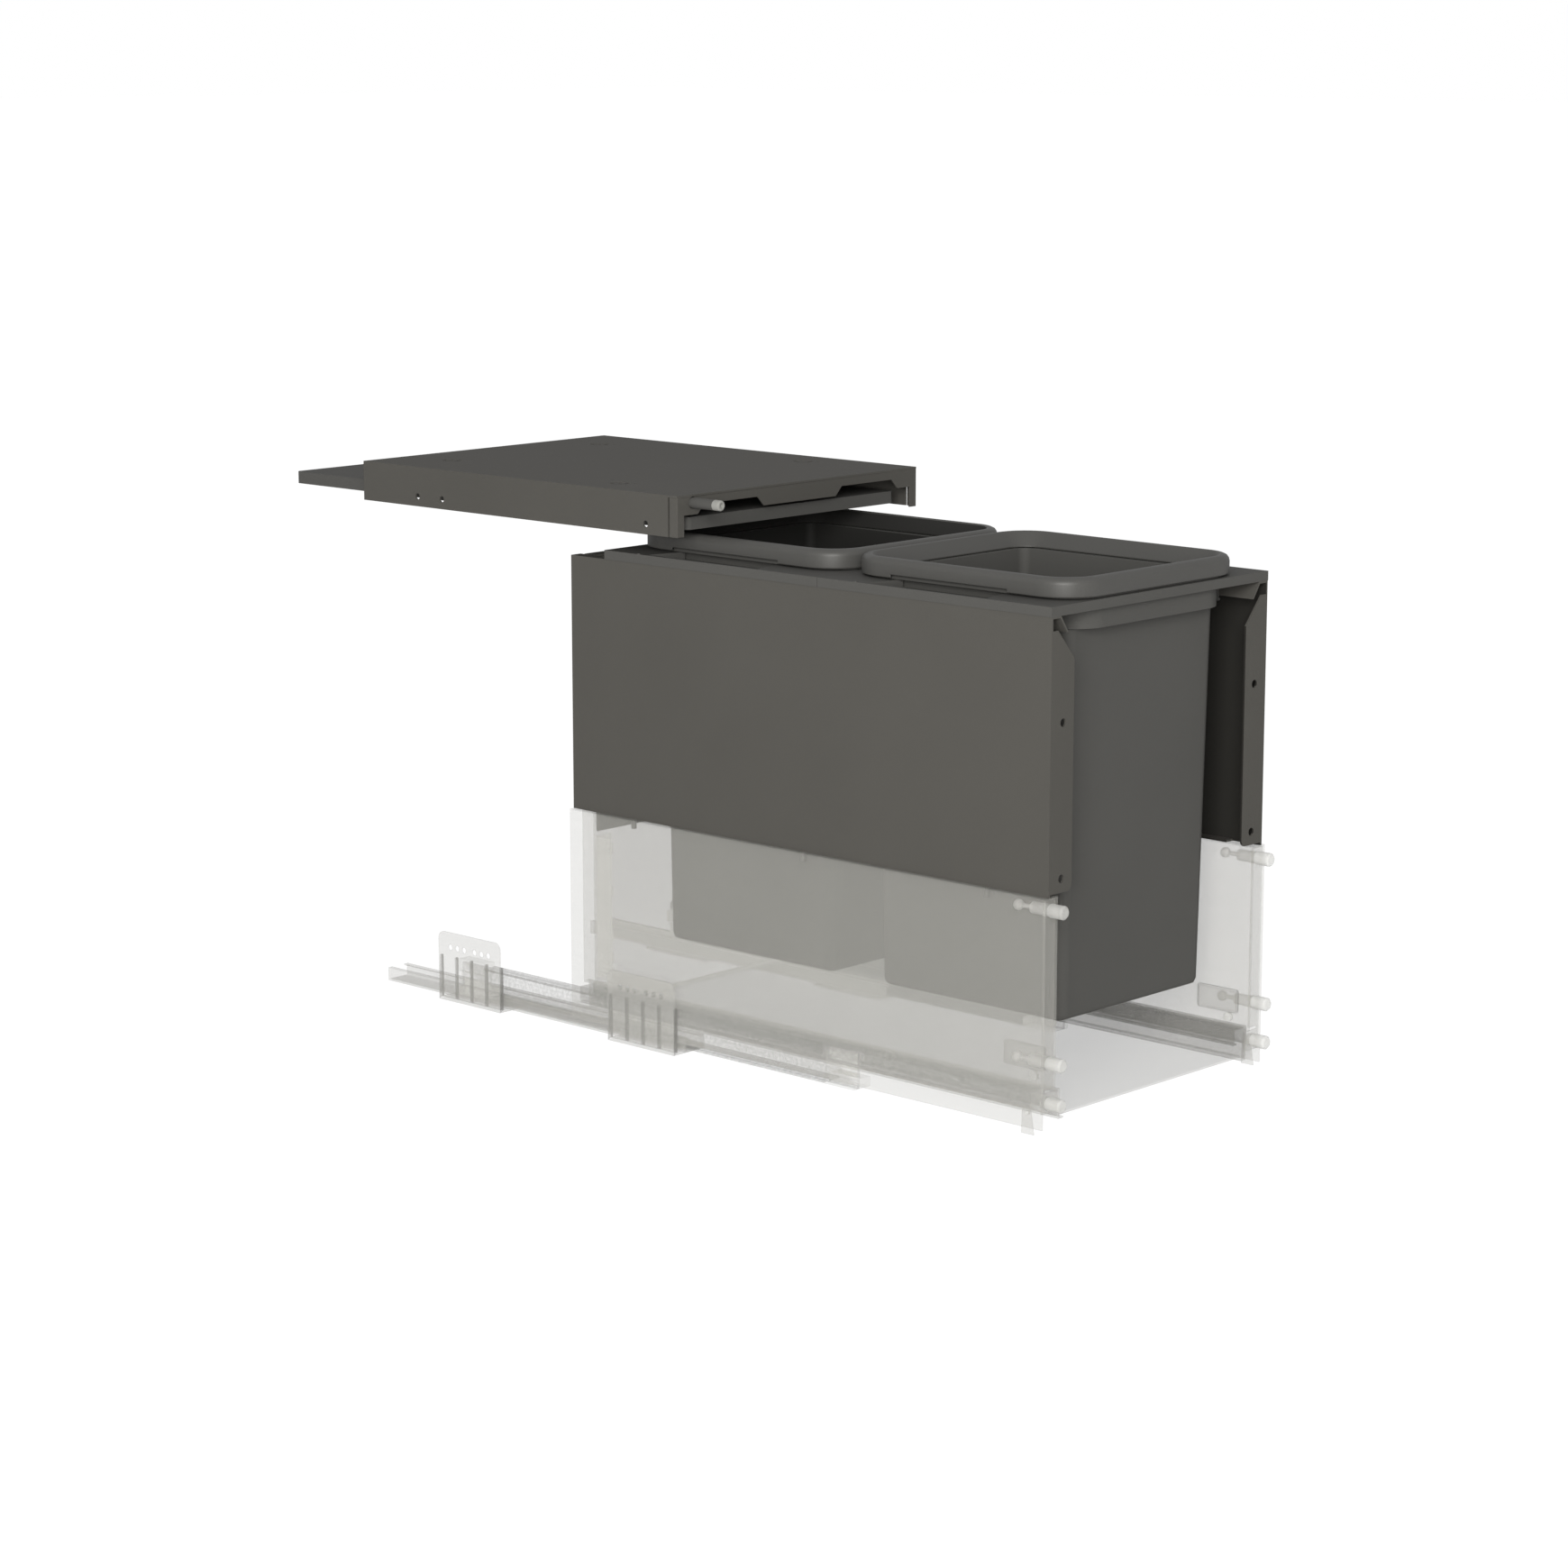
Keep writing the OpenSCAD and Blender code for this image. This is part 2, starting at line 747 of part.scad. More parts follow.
// Dark side panel: sheet with a seat flange below, a sloped ledge above and end flanges
module carrier_side() {
  in_x = panel_x - panel_t;
  flange_in = panel_x - flange_w;
  flange_top = panel_top - flange_top_gap;
  flange_low = panel_low + flange_low_gap;
  hole_low = panel_low + flange_hole_low;
  color("#5b5a54")
    difference() {
      union() {
        block([in_x, front_y, panel_low], [panel_x, back_y, panel_top]);
        block([in_x - seat_flange, front_y + flange_w, panel_low],
              [panel_x, back_y - flange_w, panel_low + panel_t]);
        ledge();
        front_flange(front_y, flange_in, flange_low, flange_top);
        front_flange(back_y - panel_t, flange_in, flange_low, flange_top);
      }
      for (z = [hole_low, hole_low + flange_hole_gap])
        bar_y(panel_x - flange_hole_in, front_y - cut, front_y + panel_t + cut, z,
              flange_hole_r);
      for (y = screw_rows())
        translate([in_x - seat_flange / 2, y, panel_low - cut])
          cylinder(h = panel_t + 2 * cut, r = screw_r + pin_play);
    }
}

// Ledge along the top of the side panel, flat under the tray and then sloping down
module ledge() {
  in_x = panel_x - panel_t;
  mid_x = panel_x - panel_t / 2;
  flat_x = in_x - ledge_flat;
  slope_x = flat_x - ledge_slope;
  translate([0, back_y, 0])
    rotate([90, 0, 0])
      linear_extrude(drawer_d)
        polygon([
          [mid_x, panel_top],
          [flat_x, panel_top],
          [slope_x, panel_top - ledge_drop],
          [slope_x + panel_t, panel_top - ledge_drop],
          [flat_x + panel_t / 2, panel_top - panel_t],
          [mid_x, panel_top - panel_t]
        ]);
}

// Flange turned in at an end of the side panel, cut off at its upper inner corner
module front_flange(y0, flange_in, flange_low, flange_top) {
  translate([0, y0 + panel_t, 0])
    rotate([90, 0, 0])
      linear_extrude(panel_t)
        union() {
          polygon([
            [panel_x, flange_low],
            [panel_x, flange_top],
            [flange_in + flange_chamfer_x, flange_top],
            [flange_in, flange_top - flange_chamfer_z],
            [flange_in, flange_low + flange_round],
            [flange_in + flange_round, flange_low]
          ]);
          translate([flange_in + flange_round, flange_low + flange_round])
            circle(flange_round);
        }
}

// Back of the carrier: plate with folded sides, a turned-back top and a lower tongue
module carrier_back() {
  in_x = panel_x - panel_t;
  tongue_x = inner_x - tongue_play;
  low = panel_low + panel_t + tongue_play;
  high = panel_top - ledge_drop - tongue_play;
  clear_x = in_x - ledge_flat - ledge_slope - tongue_play;
  fold_x = in_x - ledge_flat - panel_t;
  y1 = carrier_back_y + panel_t;
  color("#55544f")
    union() {
      block([-in_x, carrier_back_y, low], [in_x, y1, high]);
      block([-clear_x, carrier_back_y, high - cut], [clear_x, y1, panel_top]);
      block([-fold_x, carrier_back_y, panel_top - panel_t],
            [fold_x, carrier_back_y + back_fold, panel_top]);
      block([-tongue_x, carrier_back_y, drawer_top - tongue_h], [tongue_x, y1, low + cut]);
      for (s = [-1, 1])
        block([s * (in_x - panel_t / 2) - panel_t / 2, carrier_back_y, low],
              [s * (in_x - panel_t / 2) + panel_t / 2, carrier_back_y + back_fold, high]);
    }
}

// Screws through the seat flange into the top of the drawer side
module carrier_screws() {
  color("#6a6963")
    for (y = screw_rows())
      translate([panel_x - panel_t - seat_flange / 2, y, panel_low + panel_t])
        union() {
          cylinder(h = screw_head_h, r = screw_head_r);
          translate([0, 0, -screw_len])
            cylinder(h = screw_len + screw_head_h / 2, r = screw_r);
        }
}

// Outline of a finger pocket on the right of a bin, with slanted ends
module pocket_outline(y0, grow) {
  x1 = tray_x - pocket_edge + grow;
  x0 = tray_x - pocket_edge - pocket_in - grow;
  y1 = y0 + pocket_len;
  polygon([
    [x0, y0 + pocket_skew - grow],
    [x1, y0 - grow],
    [x1, y1 + grow],
    [x0, y1 - pocket_skew + grow]
  ]);
}

// Opening for a bin's collar, grown by a wall where the tray's collar skirt is drawn
module opening(rim_y, grow, z, h) {
  inset_x = collar_in_x - opening_play - grow;
  inset_y = collar_in_y - opening_play / 2 - grow;
  slab(rim_w - 2 * inset_x, rim_y + inset_y, rim_y + rim_d - inset_y, rim_r - inset_y, z, h);
}

// Tray: plate, outer skirt, skirt round the opening, pockets, nibs and hooks
module tray(y0, y1, rim_y) {
  pocket_y = rim_y + pocket_start;
  floor_low = tray_top - pocket_h - pocket_floor;
  ledge_edge = panel_x - panel_t - ledge_flat - ledge_slope;
  difference() {
    union() {
      difference() {
        block([-tray_x, y0, tray_z], [tray_x, y1, tray_top]);
        block([-tray_x + tray_t, y0 + tray_t / 2, tray_z - cut],
              [tray_x - tray_t, y1 - tray_t / 2, tray_top - tray_t]);
      }
      intersection() {
        opening(rim_y, tray_t / 2, tray_z, tray_h - tray_t / 2);
        block([-tray_x, y0, tray_z], [tray_x, y1, tray_top]);
      }
      for (s = [0, 1])
        mirror([s, 0, 0])
          translate([0, 0, floor_low])
            linear_extrude(tray_top - floor_low - tray_t / 2)
              pocket_outline(pocket_y, tray_t / 2);
      for (s = [-1, 1])
        for (y = [y0 + hook_inset, y1 - hook_inset - hook_len])
          tray_hook(s, y, ledge_edge);
      for (s = [-1, 1])
        translate([s * (tray_x - pocket_edge / 2), pocket_y + pocket_len + pocket_skew,
                   tray_top - nib_h])
          cylinder(h = 2 * nib_h, r = pocket_edge / 2);
    }
    opening(rim_y, 0, tray_z - hook_drop - cut, tray_h + hook_drop + 2 * cut);
    for (s = [0, 1])
      mirror([s, 0, 0])
        translate([0, 0, floor_low + pocket_floor])
          linear_extrude(pocket_h + cut)
            pocket_outline(pocket_y, 0);
  }
}

// Snap hook that reaches down beside the ledge and under its edge
module tray_hook(s, y, ledge_edge) {
  x1 = ledge_edge - slide_gap;
  low = tray_z - ledge_drop - hook_nose - hook_thick;
  pts_x = [x1 - hook_thick, x1 + hook_nose];
  block([min(s * pts_x[0], s * x1), y, low],
        [max(s * pts_x[0], s * x1), y + hook_len, tray_top - tray_t / 2]);
  block([min(s * pts_x[0], s * pts_x[1]), y, low],
        [max(s * pts_x[0], s * pts_x[1]), y + hook_len, low + hook_nose]);
}

module tray_front() {
  color("#55544f")
    tray(front_y, seam_y - seam_gap / 2, front_y + rim_inset);
}

module tray_back() {
  color("#55544f")
    tray(seam_y + seam_gap / 2, front_y + trays_d, front_y + rim_inset + bin_pitch);
}

// Tapered bin with a collar in the tray and a flange on it
module bin(rim_y) {
  x_top = collar_in_x + collar_step_x;
  y_top = collar_in_y + collar_step_y;
  collar_low = bin_flange_low - collar_h;
  module shell(inset, low) {
    top_w = rim_w - 2 * (x_top + inset);
    foot_w = top_w - 2 * bin_taper_x;
    y0 = rim_y + y_top + inset;
    y1 = rim_y + rim_d - y_top - inset;
    hull() {
      slab(foot_w - 2 * bin_foot_r, y0 + bin_taper_y + bin_foot_r,
           y1 - bin_taper_y - bin_foot_r, bin_corner - inset - bin_foot_r, low, bin_t,
           $fn = hull_fn);
      slab(foot_w, y0 + bin_taper_y, y1 - bin_taper_y, bin_corner - inset,
           low + bin_foot_r, bin_t, $fn = hull_fn);
      slab(top_w, y0, y1, bin_corner - inset, bin_flange_low + bin_flange_h - bin_t, bin_t,
           $fn = hull_fn);
    }
  }
  difference() {
    union() {
      shell(0, bin_low);
      slab(rim_w - 2 * collar_in_x, rim_y + collar_in_y, rim_y + rim_d - collar_in_y,
           rim_r - collar_in_y, collar_low, collar_h + bin_flange_h);
      slab(rim_w - 2 * flange_in_x, rim_y + flange_in_y, rim_y + rim_d - flange_in_y,
           rim_r - flange_in_y, bin_flange_low, bin_flange_h);
    }
    shell(bin_t, bin_low + bin_t);
    slab(rim_w - 2 * (x_top + bin_t), rim_y + y_top + bin_t, rim_y + rim_d - y_top - bin_t,
         bin_corner - bin_t, bin_flange_low, bin_flange_h + cut, $fn = hull_fn);
  }
}

module bin_front() {
  color("#565550")
    bin(front_y + rim_inset);
}

module bin_back() {
  color("#565550")
    bin(front_y + rim_inset + bin_pitch);
}

// Bag frame: rounded ring that slopes down to the bin's mouth and hangs over the bin's flange
module bag_frame(rim_y) {
  low = bin_flange_low + bin_flange_h + seat_gap;
  half_w = rim_w / 2 - rim_r;
  half_d = rim_d / 2 - rim_r;
  notch_y = pocket_start - rim_d / 2;
  notch_in = 2 * skirt_t;
  module section() {
    polygon([for (p = rim_section) [rim_r - p[0], p[1]]]);
  }
  translate([0, rim_y + rim_d / 2, low])
    difference() {
      union() {
        for (a = [0 : 3])
          let (x = (a == 0 || a == 3 ? 1 : -1) * half_w, y = (a < 2 ? 1 : -1) * half_d)
            translate([x, y, 0])
              rotate([0, 0, 90 * a])
                rotate_extrude(angle = 90)
                  section();
        for (s = [0, 1]) {
          mirror([s, 0, 0])
            translate([half_w, half_d, 0])
              rotate([90, 0, 0])
                linear_extrude(2 * half_d)
                  section();
          mirror([0, s, 0])
            translate([-half_w, half_d, 0])
              rotate([90, 0, 90])
                linear_extrude(2 * half_w)
                  section();
        }
      }
      for (s = [-1, 1])
        block([min(s * (rim_w / 2 - notch_in), s * (rim_w / 2 + cut)), notch_y, -skirt_h - cut],
              [max(s * (rim_w / 2 - notch_in), s * (rim_w / 2 + cut)),
               notch_y + pocket_len - pocket_skew / 2, 0]);
    }
}

module bag_frame_front() {
  color("#5e5d57")
    bag_frame(front_y + rim_inset);
}

module bag_frame_back() {
  color("#5e5d57")
    bag_frame(front_y + rim_inset + bin_pitch);
}

// Cover shelf: top plate with dimples and a flange turned down at each side
module cover_shelf() {
  flange_y = cover_front_gap;
  holes = [cover_hole_first, cover_hole_first + cover_hole_span,
           cover_hole_first + cover_hole_span + cover_hole_gap];
  color("#4f4e49")
    difference() {
      union() {
        block([-wall_x, cover_lip, cover_z - cover_t], [wall_x, cover_d, cover_z]);
        for (s = [-1, 1])
          block([s * (wall_x - cover_t / 2) - cover_t / 2, flange_y, cover_low],
                [s * (wall_x - cover_t / 2) + cover_t / 2, cover_d, cover_z]);
        for (p = guide_points)
          for (s = [-1, 1])
            translate([s * p[0], p[1], cover_z - cover_t - dimple_h])
              cylinder(h = dimple_h, r = dimple_r + cover_t / 2);
      }
      for (p = guide_points)
        for (s = [-1, 1])
          translate([s * p[0], p[1], 0]) {
            translate([0, 0, cover_z - dimple_h])
              cylinder(h = dimple_h + cut, r1 = dimple_floor_r, r2 = dimple_r);
            translate([0, 0, cover_low])
              cylinder(h = cover_h, r = guide_r + pin_play);
            translate([vent_dx, vent_dy, cover_low])
              cylinder(h = cover_h + cut, r = vent_r);
          }
      for (s = [-1, 1])
        for (y = holes)
          bar_x(s * wall_x - 2 * cover_t, s * wall_x + 2 * cover_t, y, cover_low + cover_hole_z,
                cover_hole_r);
    }
}

// Front frame of the cover: plate with two cut-outs and a folded cap at each end
module cover_front_frame() {
  top = cover_z - cover_t;
  bar_low = top - frame_bar_h;
  color("#4a4944")
    difference() {
      union() {
        block([-wall_x, frame_y, bar_low], [wall_x, frame_y + cover_t, top]);
        for (s = [-1, 1]) {
          block([s * (wall_x - frame_cap_w / 2) - frame_cap_w / 2, frame_y, cover_low],
                [s * (wall_x - frame_cap_w / 2) + frame_cap_w / 2, frame_y + cover_t, top]);
          block([s * (wall_x - cover_t / 2) - cover_t / 2, frame_y, cover_low],
                [s * (wall_x - cover_t / 2) + cover_t / 2, frame_y + frame_cap_d, top]);
        }
      }
      for (s = [-1, 1])
        translate([0, frame_y + 2 * cover_t, bar_low])
          rotate([90, 0, 0])
            linear_extrude(3 * cover_t)
              polygon([
                [s * frame_cut_in, -cut],
                [s * frame_cut_in, 0],
                [s * (frame_cut_in + frame_cut_slope), frame_cut_h],
                [s * (frame_cut_out - frame_cut_slope), frame_cut_h],
                [s * frame_cut_out, 0],
                [s * frame_cut_out, -cut]
              ]);
      bar_y(damper_x, frame_y - cut, frame_y + cover_t + cut, damper_z, damper_r + slide_gap);
    }
}

// Lid plate: shallow pan with rounded corners and a hole for each guide screw
module lid_plate() {
  y1 = lid_y + lid_d;
  color("#46453f")
    difference() {
      slab(lid_w, lid_y, y1, lid_r, lid_low, lid_h);
      slab(lid_w - 2 * lid_t, lid_y + lid_t, y1 - lid_t, lid_r - lid_t, lid_low - cut,
           lid_h - lid_t + cut);
      for (p = guide_points)
        for (s = [-1, 1])
          translate([s * p[0], p[1], lid_low - cut])
            cylinder(h = lid_h + 2 * cut, r = guide_r + pin_play);
    }
}

module lid_bushes() {
  color("#3d3c38")
    for (p = guide_points)
      for (s = [-1, 1])
        translate([s * p[0], p[1], lid_top])
          difference() {
            cylinder(h = bush_h, r = bush_r);
            translate([0, 0, -cut])
              cylinder(h = bush_h + 2 * cut, r = guide_r + pin_play);
          }
}

module lid_guide_screws() {
  head_low = cover_z - dimple_h;
  color("#8f8e88")
    for (p = guide_points)
      for (s = [-1, 1])
        translate([s * p[0], p[1], 0])
          difference() {
            union() {
              translate([0, 0, guide_end])
                cylinder(h = head_low - guide_end + guide_head_h / 4, r = guide_r);
              translate([0, 0, head_low])
                cylinder(h = guide_head_h, r1 = guide_r, r2 = dimple_floor_r);
            }
            translate([0, 0, head_low + guide_head_h / 2])
              cylinder(h = guide_head_h, r = guide_r / 2, $fn = 6);
          }
}

// Damper's fixed rod, held by a block under the cover
module damper_body() {
  color("#4a4944")
    union() {
      bar_y(damper_x, rod_front, damper_back + anchor_len / 2, damper_z, rod_r);
      block([damper_x - damper_r, damper_back, damper_z - damper_r],
            [damper_x + damper_r, damper_back + anchor_len, cover_z - cover_t]);
    }
}

// Sleeve that slides on the rod and stands out through the front frame
module damper_plunger() {
  color("#565550")
    difference() {
      bar_y(damper_x, -damper_out, plunger_back, damper_z, damper_r);
      bar_y(damper_x, -damper_out + damper_wall, plunger_back + cut, damper_z,
            rod_r + pin_play);
    }
}

// Soft tip on the sleeve's front end, with a chamfer and a round recess
module damper_tip() {
  y0 = -damper_out - tip_len;
  color("#b4b3ad")
    difference() {
      union() {
        bar_y(damper_x, y0 + tip_chamfer, -damper_out, damper_z, damper_r);
        translate([damper_x, y0, damper_z])
          rotate([-90, 0, 0])
            cylinder(h = tip_chamfer, r1 = damper_r - tip_chamfer, r2 = damper_r);
      }
      bar_y(damper_x, y0 - cut, y0 + 2 * tip_chamfer, damper_z, tip_bore_r);
    }
}

cover_shelf();
cover_front_frame();
lid_plate();
lid_bushes();
lid_guide_screws();
damper_body();
damper_plunger();
damper_tip();
left() rail();  // runner_rail_left
rail();  // runner_rail_right
left() bracket(bracket_y[0], first_hole);  // bracket_front_left
bracket(bracket_y[0], first_hole);  // bracket_front_right
left() bracket(bracket_y[1], first_hole + bracket_spacing);  // bracket_rear_left
bracket(bracket_y[1], first_hole + bracket_spacing);  // bracket_rear_right
left() rail_rivets();  // rail_rivets_left
rail_rivets();  // rail_rivets_right
left() middle_member();  // middle_member_left
middle_member();  // middle_member_right
left() middle_glides();  // middle_glides_left
middle_glides();  // middle_glides_right
left() drawer_member();  // drawer_member_left
drawer_member();  // drawer_member_right
left() drawer_side();  // drawer_side_left
drawer_side();  // drawer_side_right
drawer_floor();
drawer_back();
left() back_bracket();  // back_bracket_left
back_bracket();  // back_bracket_right
left() front_connector();  // front_connector_left
front_connector();  // front_connector_right
left() front_plugs();  // front_plugs_left
front_plugs();  // front_plugs_right
left() adjuster_cover();  // adjuster_cover_left
adjuster_cover();  // adjuster_cover_right
left() adjuster_screw();  // adjuster_screw_left
adjuster_screw();  // adjuster_screw_right
left() catch_lever();  // catch_lever_left
catch_lever();  // catch_lever_right
left() catch_pin();  // catch_pin_left
catch_pin();  // catch_pin_right
left() carrier_side();  // carrier_side_left
carrier_side();  // carrier_side_right
carrier_back();
left() carrier_screws();  // carrier_screws_left
carrier_screws();  // carrier_screws_right
tray_front();
tray_back();
bin_front();
bin_back();
bag_frame_front();
bag_frame_back();
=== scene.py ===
"""Looks of a pull-out waste sorter: dark sheet and mouldings over a pale, see-through drawer."""

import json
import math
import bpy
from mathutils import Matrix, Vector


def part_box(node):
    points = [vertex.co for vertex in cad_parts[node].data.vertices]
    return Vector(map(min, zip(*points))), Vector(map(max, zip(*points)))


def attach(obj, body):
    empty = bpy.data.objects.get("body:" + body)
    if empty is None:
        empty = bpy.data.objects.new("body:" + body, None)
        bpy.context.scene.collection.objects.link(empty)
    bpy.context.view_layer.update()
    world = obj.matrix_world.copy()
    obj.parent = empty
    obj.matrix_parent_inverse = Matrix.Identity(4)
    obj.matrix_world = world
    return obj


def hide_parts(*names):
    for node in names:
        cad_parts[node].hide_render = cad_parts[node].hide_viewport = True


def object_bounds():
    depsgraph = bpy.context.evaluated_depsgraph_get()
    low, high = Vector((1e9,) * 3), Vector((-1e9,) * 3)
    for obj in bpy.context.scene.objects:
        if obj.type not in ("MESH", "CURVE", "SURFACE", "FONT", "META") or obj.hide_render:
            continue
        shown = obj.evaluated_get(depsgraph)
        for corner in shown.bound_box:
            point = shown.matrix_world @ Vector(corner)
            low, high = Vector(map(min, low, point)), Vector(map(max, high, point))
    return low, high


bl_info = {
    "name": "Pull-out waste sorter",
    "version": (1, 0, 0),
    "blender": (4, 5, 0),
    "location": "3D View > Sidebar > Sorter",
    "description": "Dresses the packed sorter with its finishes and softened shapes",
    "category": "Object",
}

import bpy
from mathutils import Vector

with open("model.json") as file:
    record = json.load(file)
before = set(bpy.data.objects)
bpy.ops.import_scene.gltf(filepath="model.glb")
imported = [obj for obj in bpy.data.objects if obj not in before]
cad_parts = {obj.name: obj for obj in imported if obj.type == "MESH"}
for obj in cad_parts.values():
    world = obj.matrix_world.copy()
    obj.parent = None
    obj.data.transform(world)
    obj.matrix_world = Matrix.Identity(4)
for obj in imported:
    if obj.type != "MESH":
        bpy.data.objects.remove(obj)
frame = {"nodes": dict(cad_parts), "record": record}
CAD_BOX = [list(corner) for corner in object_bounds()]
NODE_BODY = {
    node: body
    for body, nodes in frame["record"]["behaviour"]["bodies"].items()
    for node in nodes
}
SLOT_OF = {row["node"]: row["material_slot"] for row in frame["record"]["subparts"]}
MM = 0.001
SIDES = ("left", "right")
ENDS = ("front", "back")
WHITE = (1.0, 1.0, 1.0, 1.0)
# Colours of the metal and rubber pieces
BRIGHT = (0.72, 0.72, 0.7)
STEEL = (0.13, 0.13, 0.12)
RUBBER = (0.3, 0.3, 0.285)
# Grain of powder coat, of smooth pieces and of the runner members
COAT_GRAIN = 0.7 * MM
SMOOTH_GRAIN = 0.5 * MM
PALE_GRAIN = 1.4 * MM
RUNNER_GRAIN = 3 * MM
# Depth of the grain's relief
RELIEF = 0.05 * MM
# Slow tone changes: their scale, their share beside the grain, and the gain of both
SLOW_SCALE = 9.0
SLOW_SHARE = 0.6
TONE_GAIN = 4.0
# Tone spread of the dark and of the see-through finishes
DARK_SPREAD = 0.06
PALE_SPREAD = 0.03
# Gloss of the dark and of the see-through finishes
DARK_GLOSS = 0.12
PALE_GLOSS = 0.2
# How far a drawn streak is stretched along a piece
STREAK_STRETCH = 0.02
# The right runner gets painted shade, a darker copy of the runner finish, as it lies in the shade
# of the bins
RUNNER_TONES_WITH_PAINTED_SHADE = {"left": "runner_steel", "right": "painted_shade_steel"}
# Where a bracket's ribs lie, from the cabinet wall and over the foot
RIB_FROM = 1.6 * MM
RIB_TO = 4.0 * MM
RIB_FOOT = 2.0 * MM
# How far from the middle the drawer sides' base walls lie, at most; the right side's get painted
# shade
BASE_REACH = 110 * MM
# Layers of see-through faces that are looked through, and the painted glow that stands for the
# white room behind them
LAST_LAYER = 6.5
PAINTED_ROOM_GLOW = 0.45
GLOW_TINT = (1.0, 1.0, 0.99, 1.0)
# How much more a see-through face hides when it is seen on edge, and how fast that sets in
EDGE_COVER = 0.3
EDGE_POWER = 4.0
# Angles past which an edge is rounded on a solid and on a bin, and shaded sharp on either
ROUND_PAST = math.radians(40)
BIN_ROUND_PAST = math.radians(50)
SHARP_PAST = math.radians(32)
# Shares of its normal by which a face looks hardly, partly, mostly or fully along an axis
HARDLY = 0.1
PARTLY = 0.5
MOSTLY = 0.7
FULLY = 0.9
# Points this close are one, and faces within this angle are one
MERGE_WITHIN = 0.002 * MM
FLAT_WITHIN = math.radians(0.5)


class SorterFinishes(bpy.types.PropertyGroup):
    """Colours and sheens of the sorter's finishes."""

    sheet_colour: bpy.props.FloatVectorProperty(
        name="Dark sheet",
        description="Powder coat of the folded sheet",
        subtype="COLOR",
        size=3,
        min=0.0,
        max=1.0,
        default=(0.082, 0.079, 0.072),
    )
    moulding_colour: bpy.props.FloatVectorProperty(
        name="Dark moulding",
        description="Plastic of the bins, bag frames and trays",
        subtype="COLOR",
        size=3,
        min=0.0,
        max=1.0,
        default=(0.083, 0.082, 0.078),
    )
    pale_colour: bpy.props.FloatVectorProperty(
        name="Pale drawer",
        description="Tint of the see-through drawer and its runners",
        subtype="COLOR",
        size=3,
        min=0.0,
        max=1.0,
        default=(0.485, 0.48, 0.455),
    )
    pale_cover: bpy.props.FloatProperty(
        name="Pale cover",
        description="How much one face of a see-through piece hides",
        min=0.02,
        max=1.0,
        default=0.195,
        subtype="FACTOR",
    )
    grain_size: bpy.props.FloatProperty(
        name="Grain",
        description="Size of the fine grain on mouldings",
        default=0.9 * MM,
        min=0.1 * MM,
        max=5 * MM,
        unit="LENGTH",
    )
    sheet_rough: bpy.props.FloatProperty(
        name="Sheet roughness",
        description="Roughness of the powder coat",
        default=0.6,
        min=0.0,
        max=1.0,
        subtype="FACTOR",
    )
    moulding_rough: bpy.props.FloatProperty(
        name="Moulding roughness",
        description="Roughness of the dark plastic",
        default=0.62,
        min=0.0,
        max=1.0,
        subtype="FACTOR",
    )


class SorterSizes(bpy.types.PropertyGroup):
    """Sizes that the drawn-over pieces take besides the frame's own."""

    sheet_round: bpy.props.FloatProperty(
        name="Sheet edge",
        description="Rounding of a folded sheet's edges",
        default=0.5 * MM,
        min=0.05 * MM,
        max=2 * MM,
        unit="LENGTH",
    )
    moulding_round: bpy.props.FloatProperty(
        name="Moulding edge",
        description="Rounding of a moulding's edges",
        default=0.7 * MM,
        min=0.05 * MM,
        max=2 * MM,
        unit="LENGTH",
    )
    bin_wall: bpy.props.FloatProperty(
        name="Bin wall",
        description="Wall thickness of a bin",
        default=2.2 * MM,
        min=1 * MM,
        max=5 * MM,
        unit="LENGTH",
    )
    bin_corner: bpy.props.FloatProperty(
        name="Bin corner",
        description="Radius of a bin's upright corners",
        default=9 * MM,
        min=8 * MM,
        max=25 * MM,
        unit="LENGTH",
    )
    bin_foot: bpy.props.FloatProperty(
        name="Bin foot",
        description="Rounding between a bin's walls and its floor",
        default=5 * MM,
        min=1 * MM,
        max=6 * MM,
        unit="LENGTH",
    )
    corner_steps: bpy.props.IntProperty(
        name="Corner steps",
        description="Faces round an upright corner of a bin",
        default=12,
        min=4,
        max=32,
    )


class SorterStage(bpy.types.PropertyGroup):
    """Light and view of the studio stage."""

    world_strength: bpy.props.FloatProperty(
        name="Room light",
        description="Strength of the even light from all round",
        default=0.485,
        min=0.0,
        max=3.0,
    )
    key_power: bpy.props.FloatProperty(
        name="Soft box",
        description="Power of the large soft box",
        default=178.0,
        min=0.0,
        max=500.0,
        unit="POWER",
    )
    lens: bpy.props.FloatProperty(
        name="Lens",
        description="Focal length of the camera in millimetres",
        default=90.67,
        min=20.0,
        max=300.0,
    )


def settings():
    """Colours and sheens in the sidebar."""
    return bpy.context.scene.sorter_finishes


def sizes():
    """Sizes in the sidebar."""
    return bpy.context.scene.sorter_sizes


def new_group(name, inputs, outputs):
    """Shader group with float or colour sockets, its own nodes still to come."""
    group = bpy.data.node_groups.new(name, "ShaderNodeTree")
    for names, way in ((inputs, "INPUT"), (outputs, "OUTPUT")):
        for socket, value in names.items():
            sort = "NodeSocketVector" if value == "vector" else "NodeSocketFloat"
            if isinstance(value, tuple):
                sort = "NodeSocketColor"
            made = group.interface.new_socket(socket, in_out=way, socket_type=sort)
            if way == "INPUT" and value != "vector":
                made.default_value = value
    start = group.nodes.new("NodeGroupInput")
    end = group.nodes.new("NodeGroupOutput")
    return group, start, end


def feed(tree, socket, value):
    """Gives a socket a number or a link."""
    if isinstance(value, (int, float)):
        socket.default_value = value
    else:
        tree.links.new(value, socket)


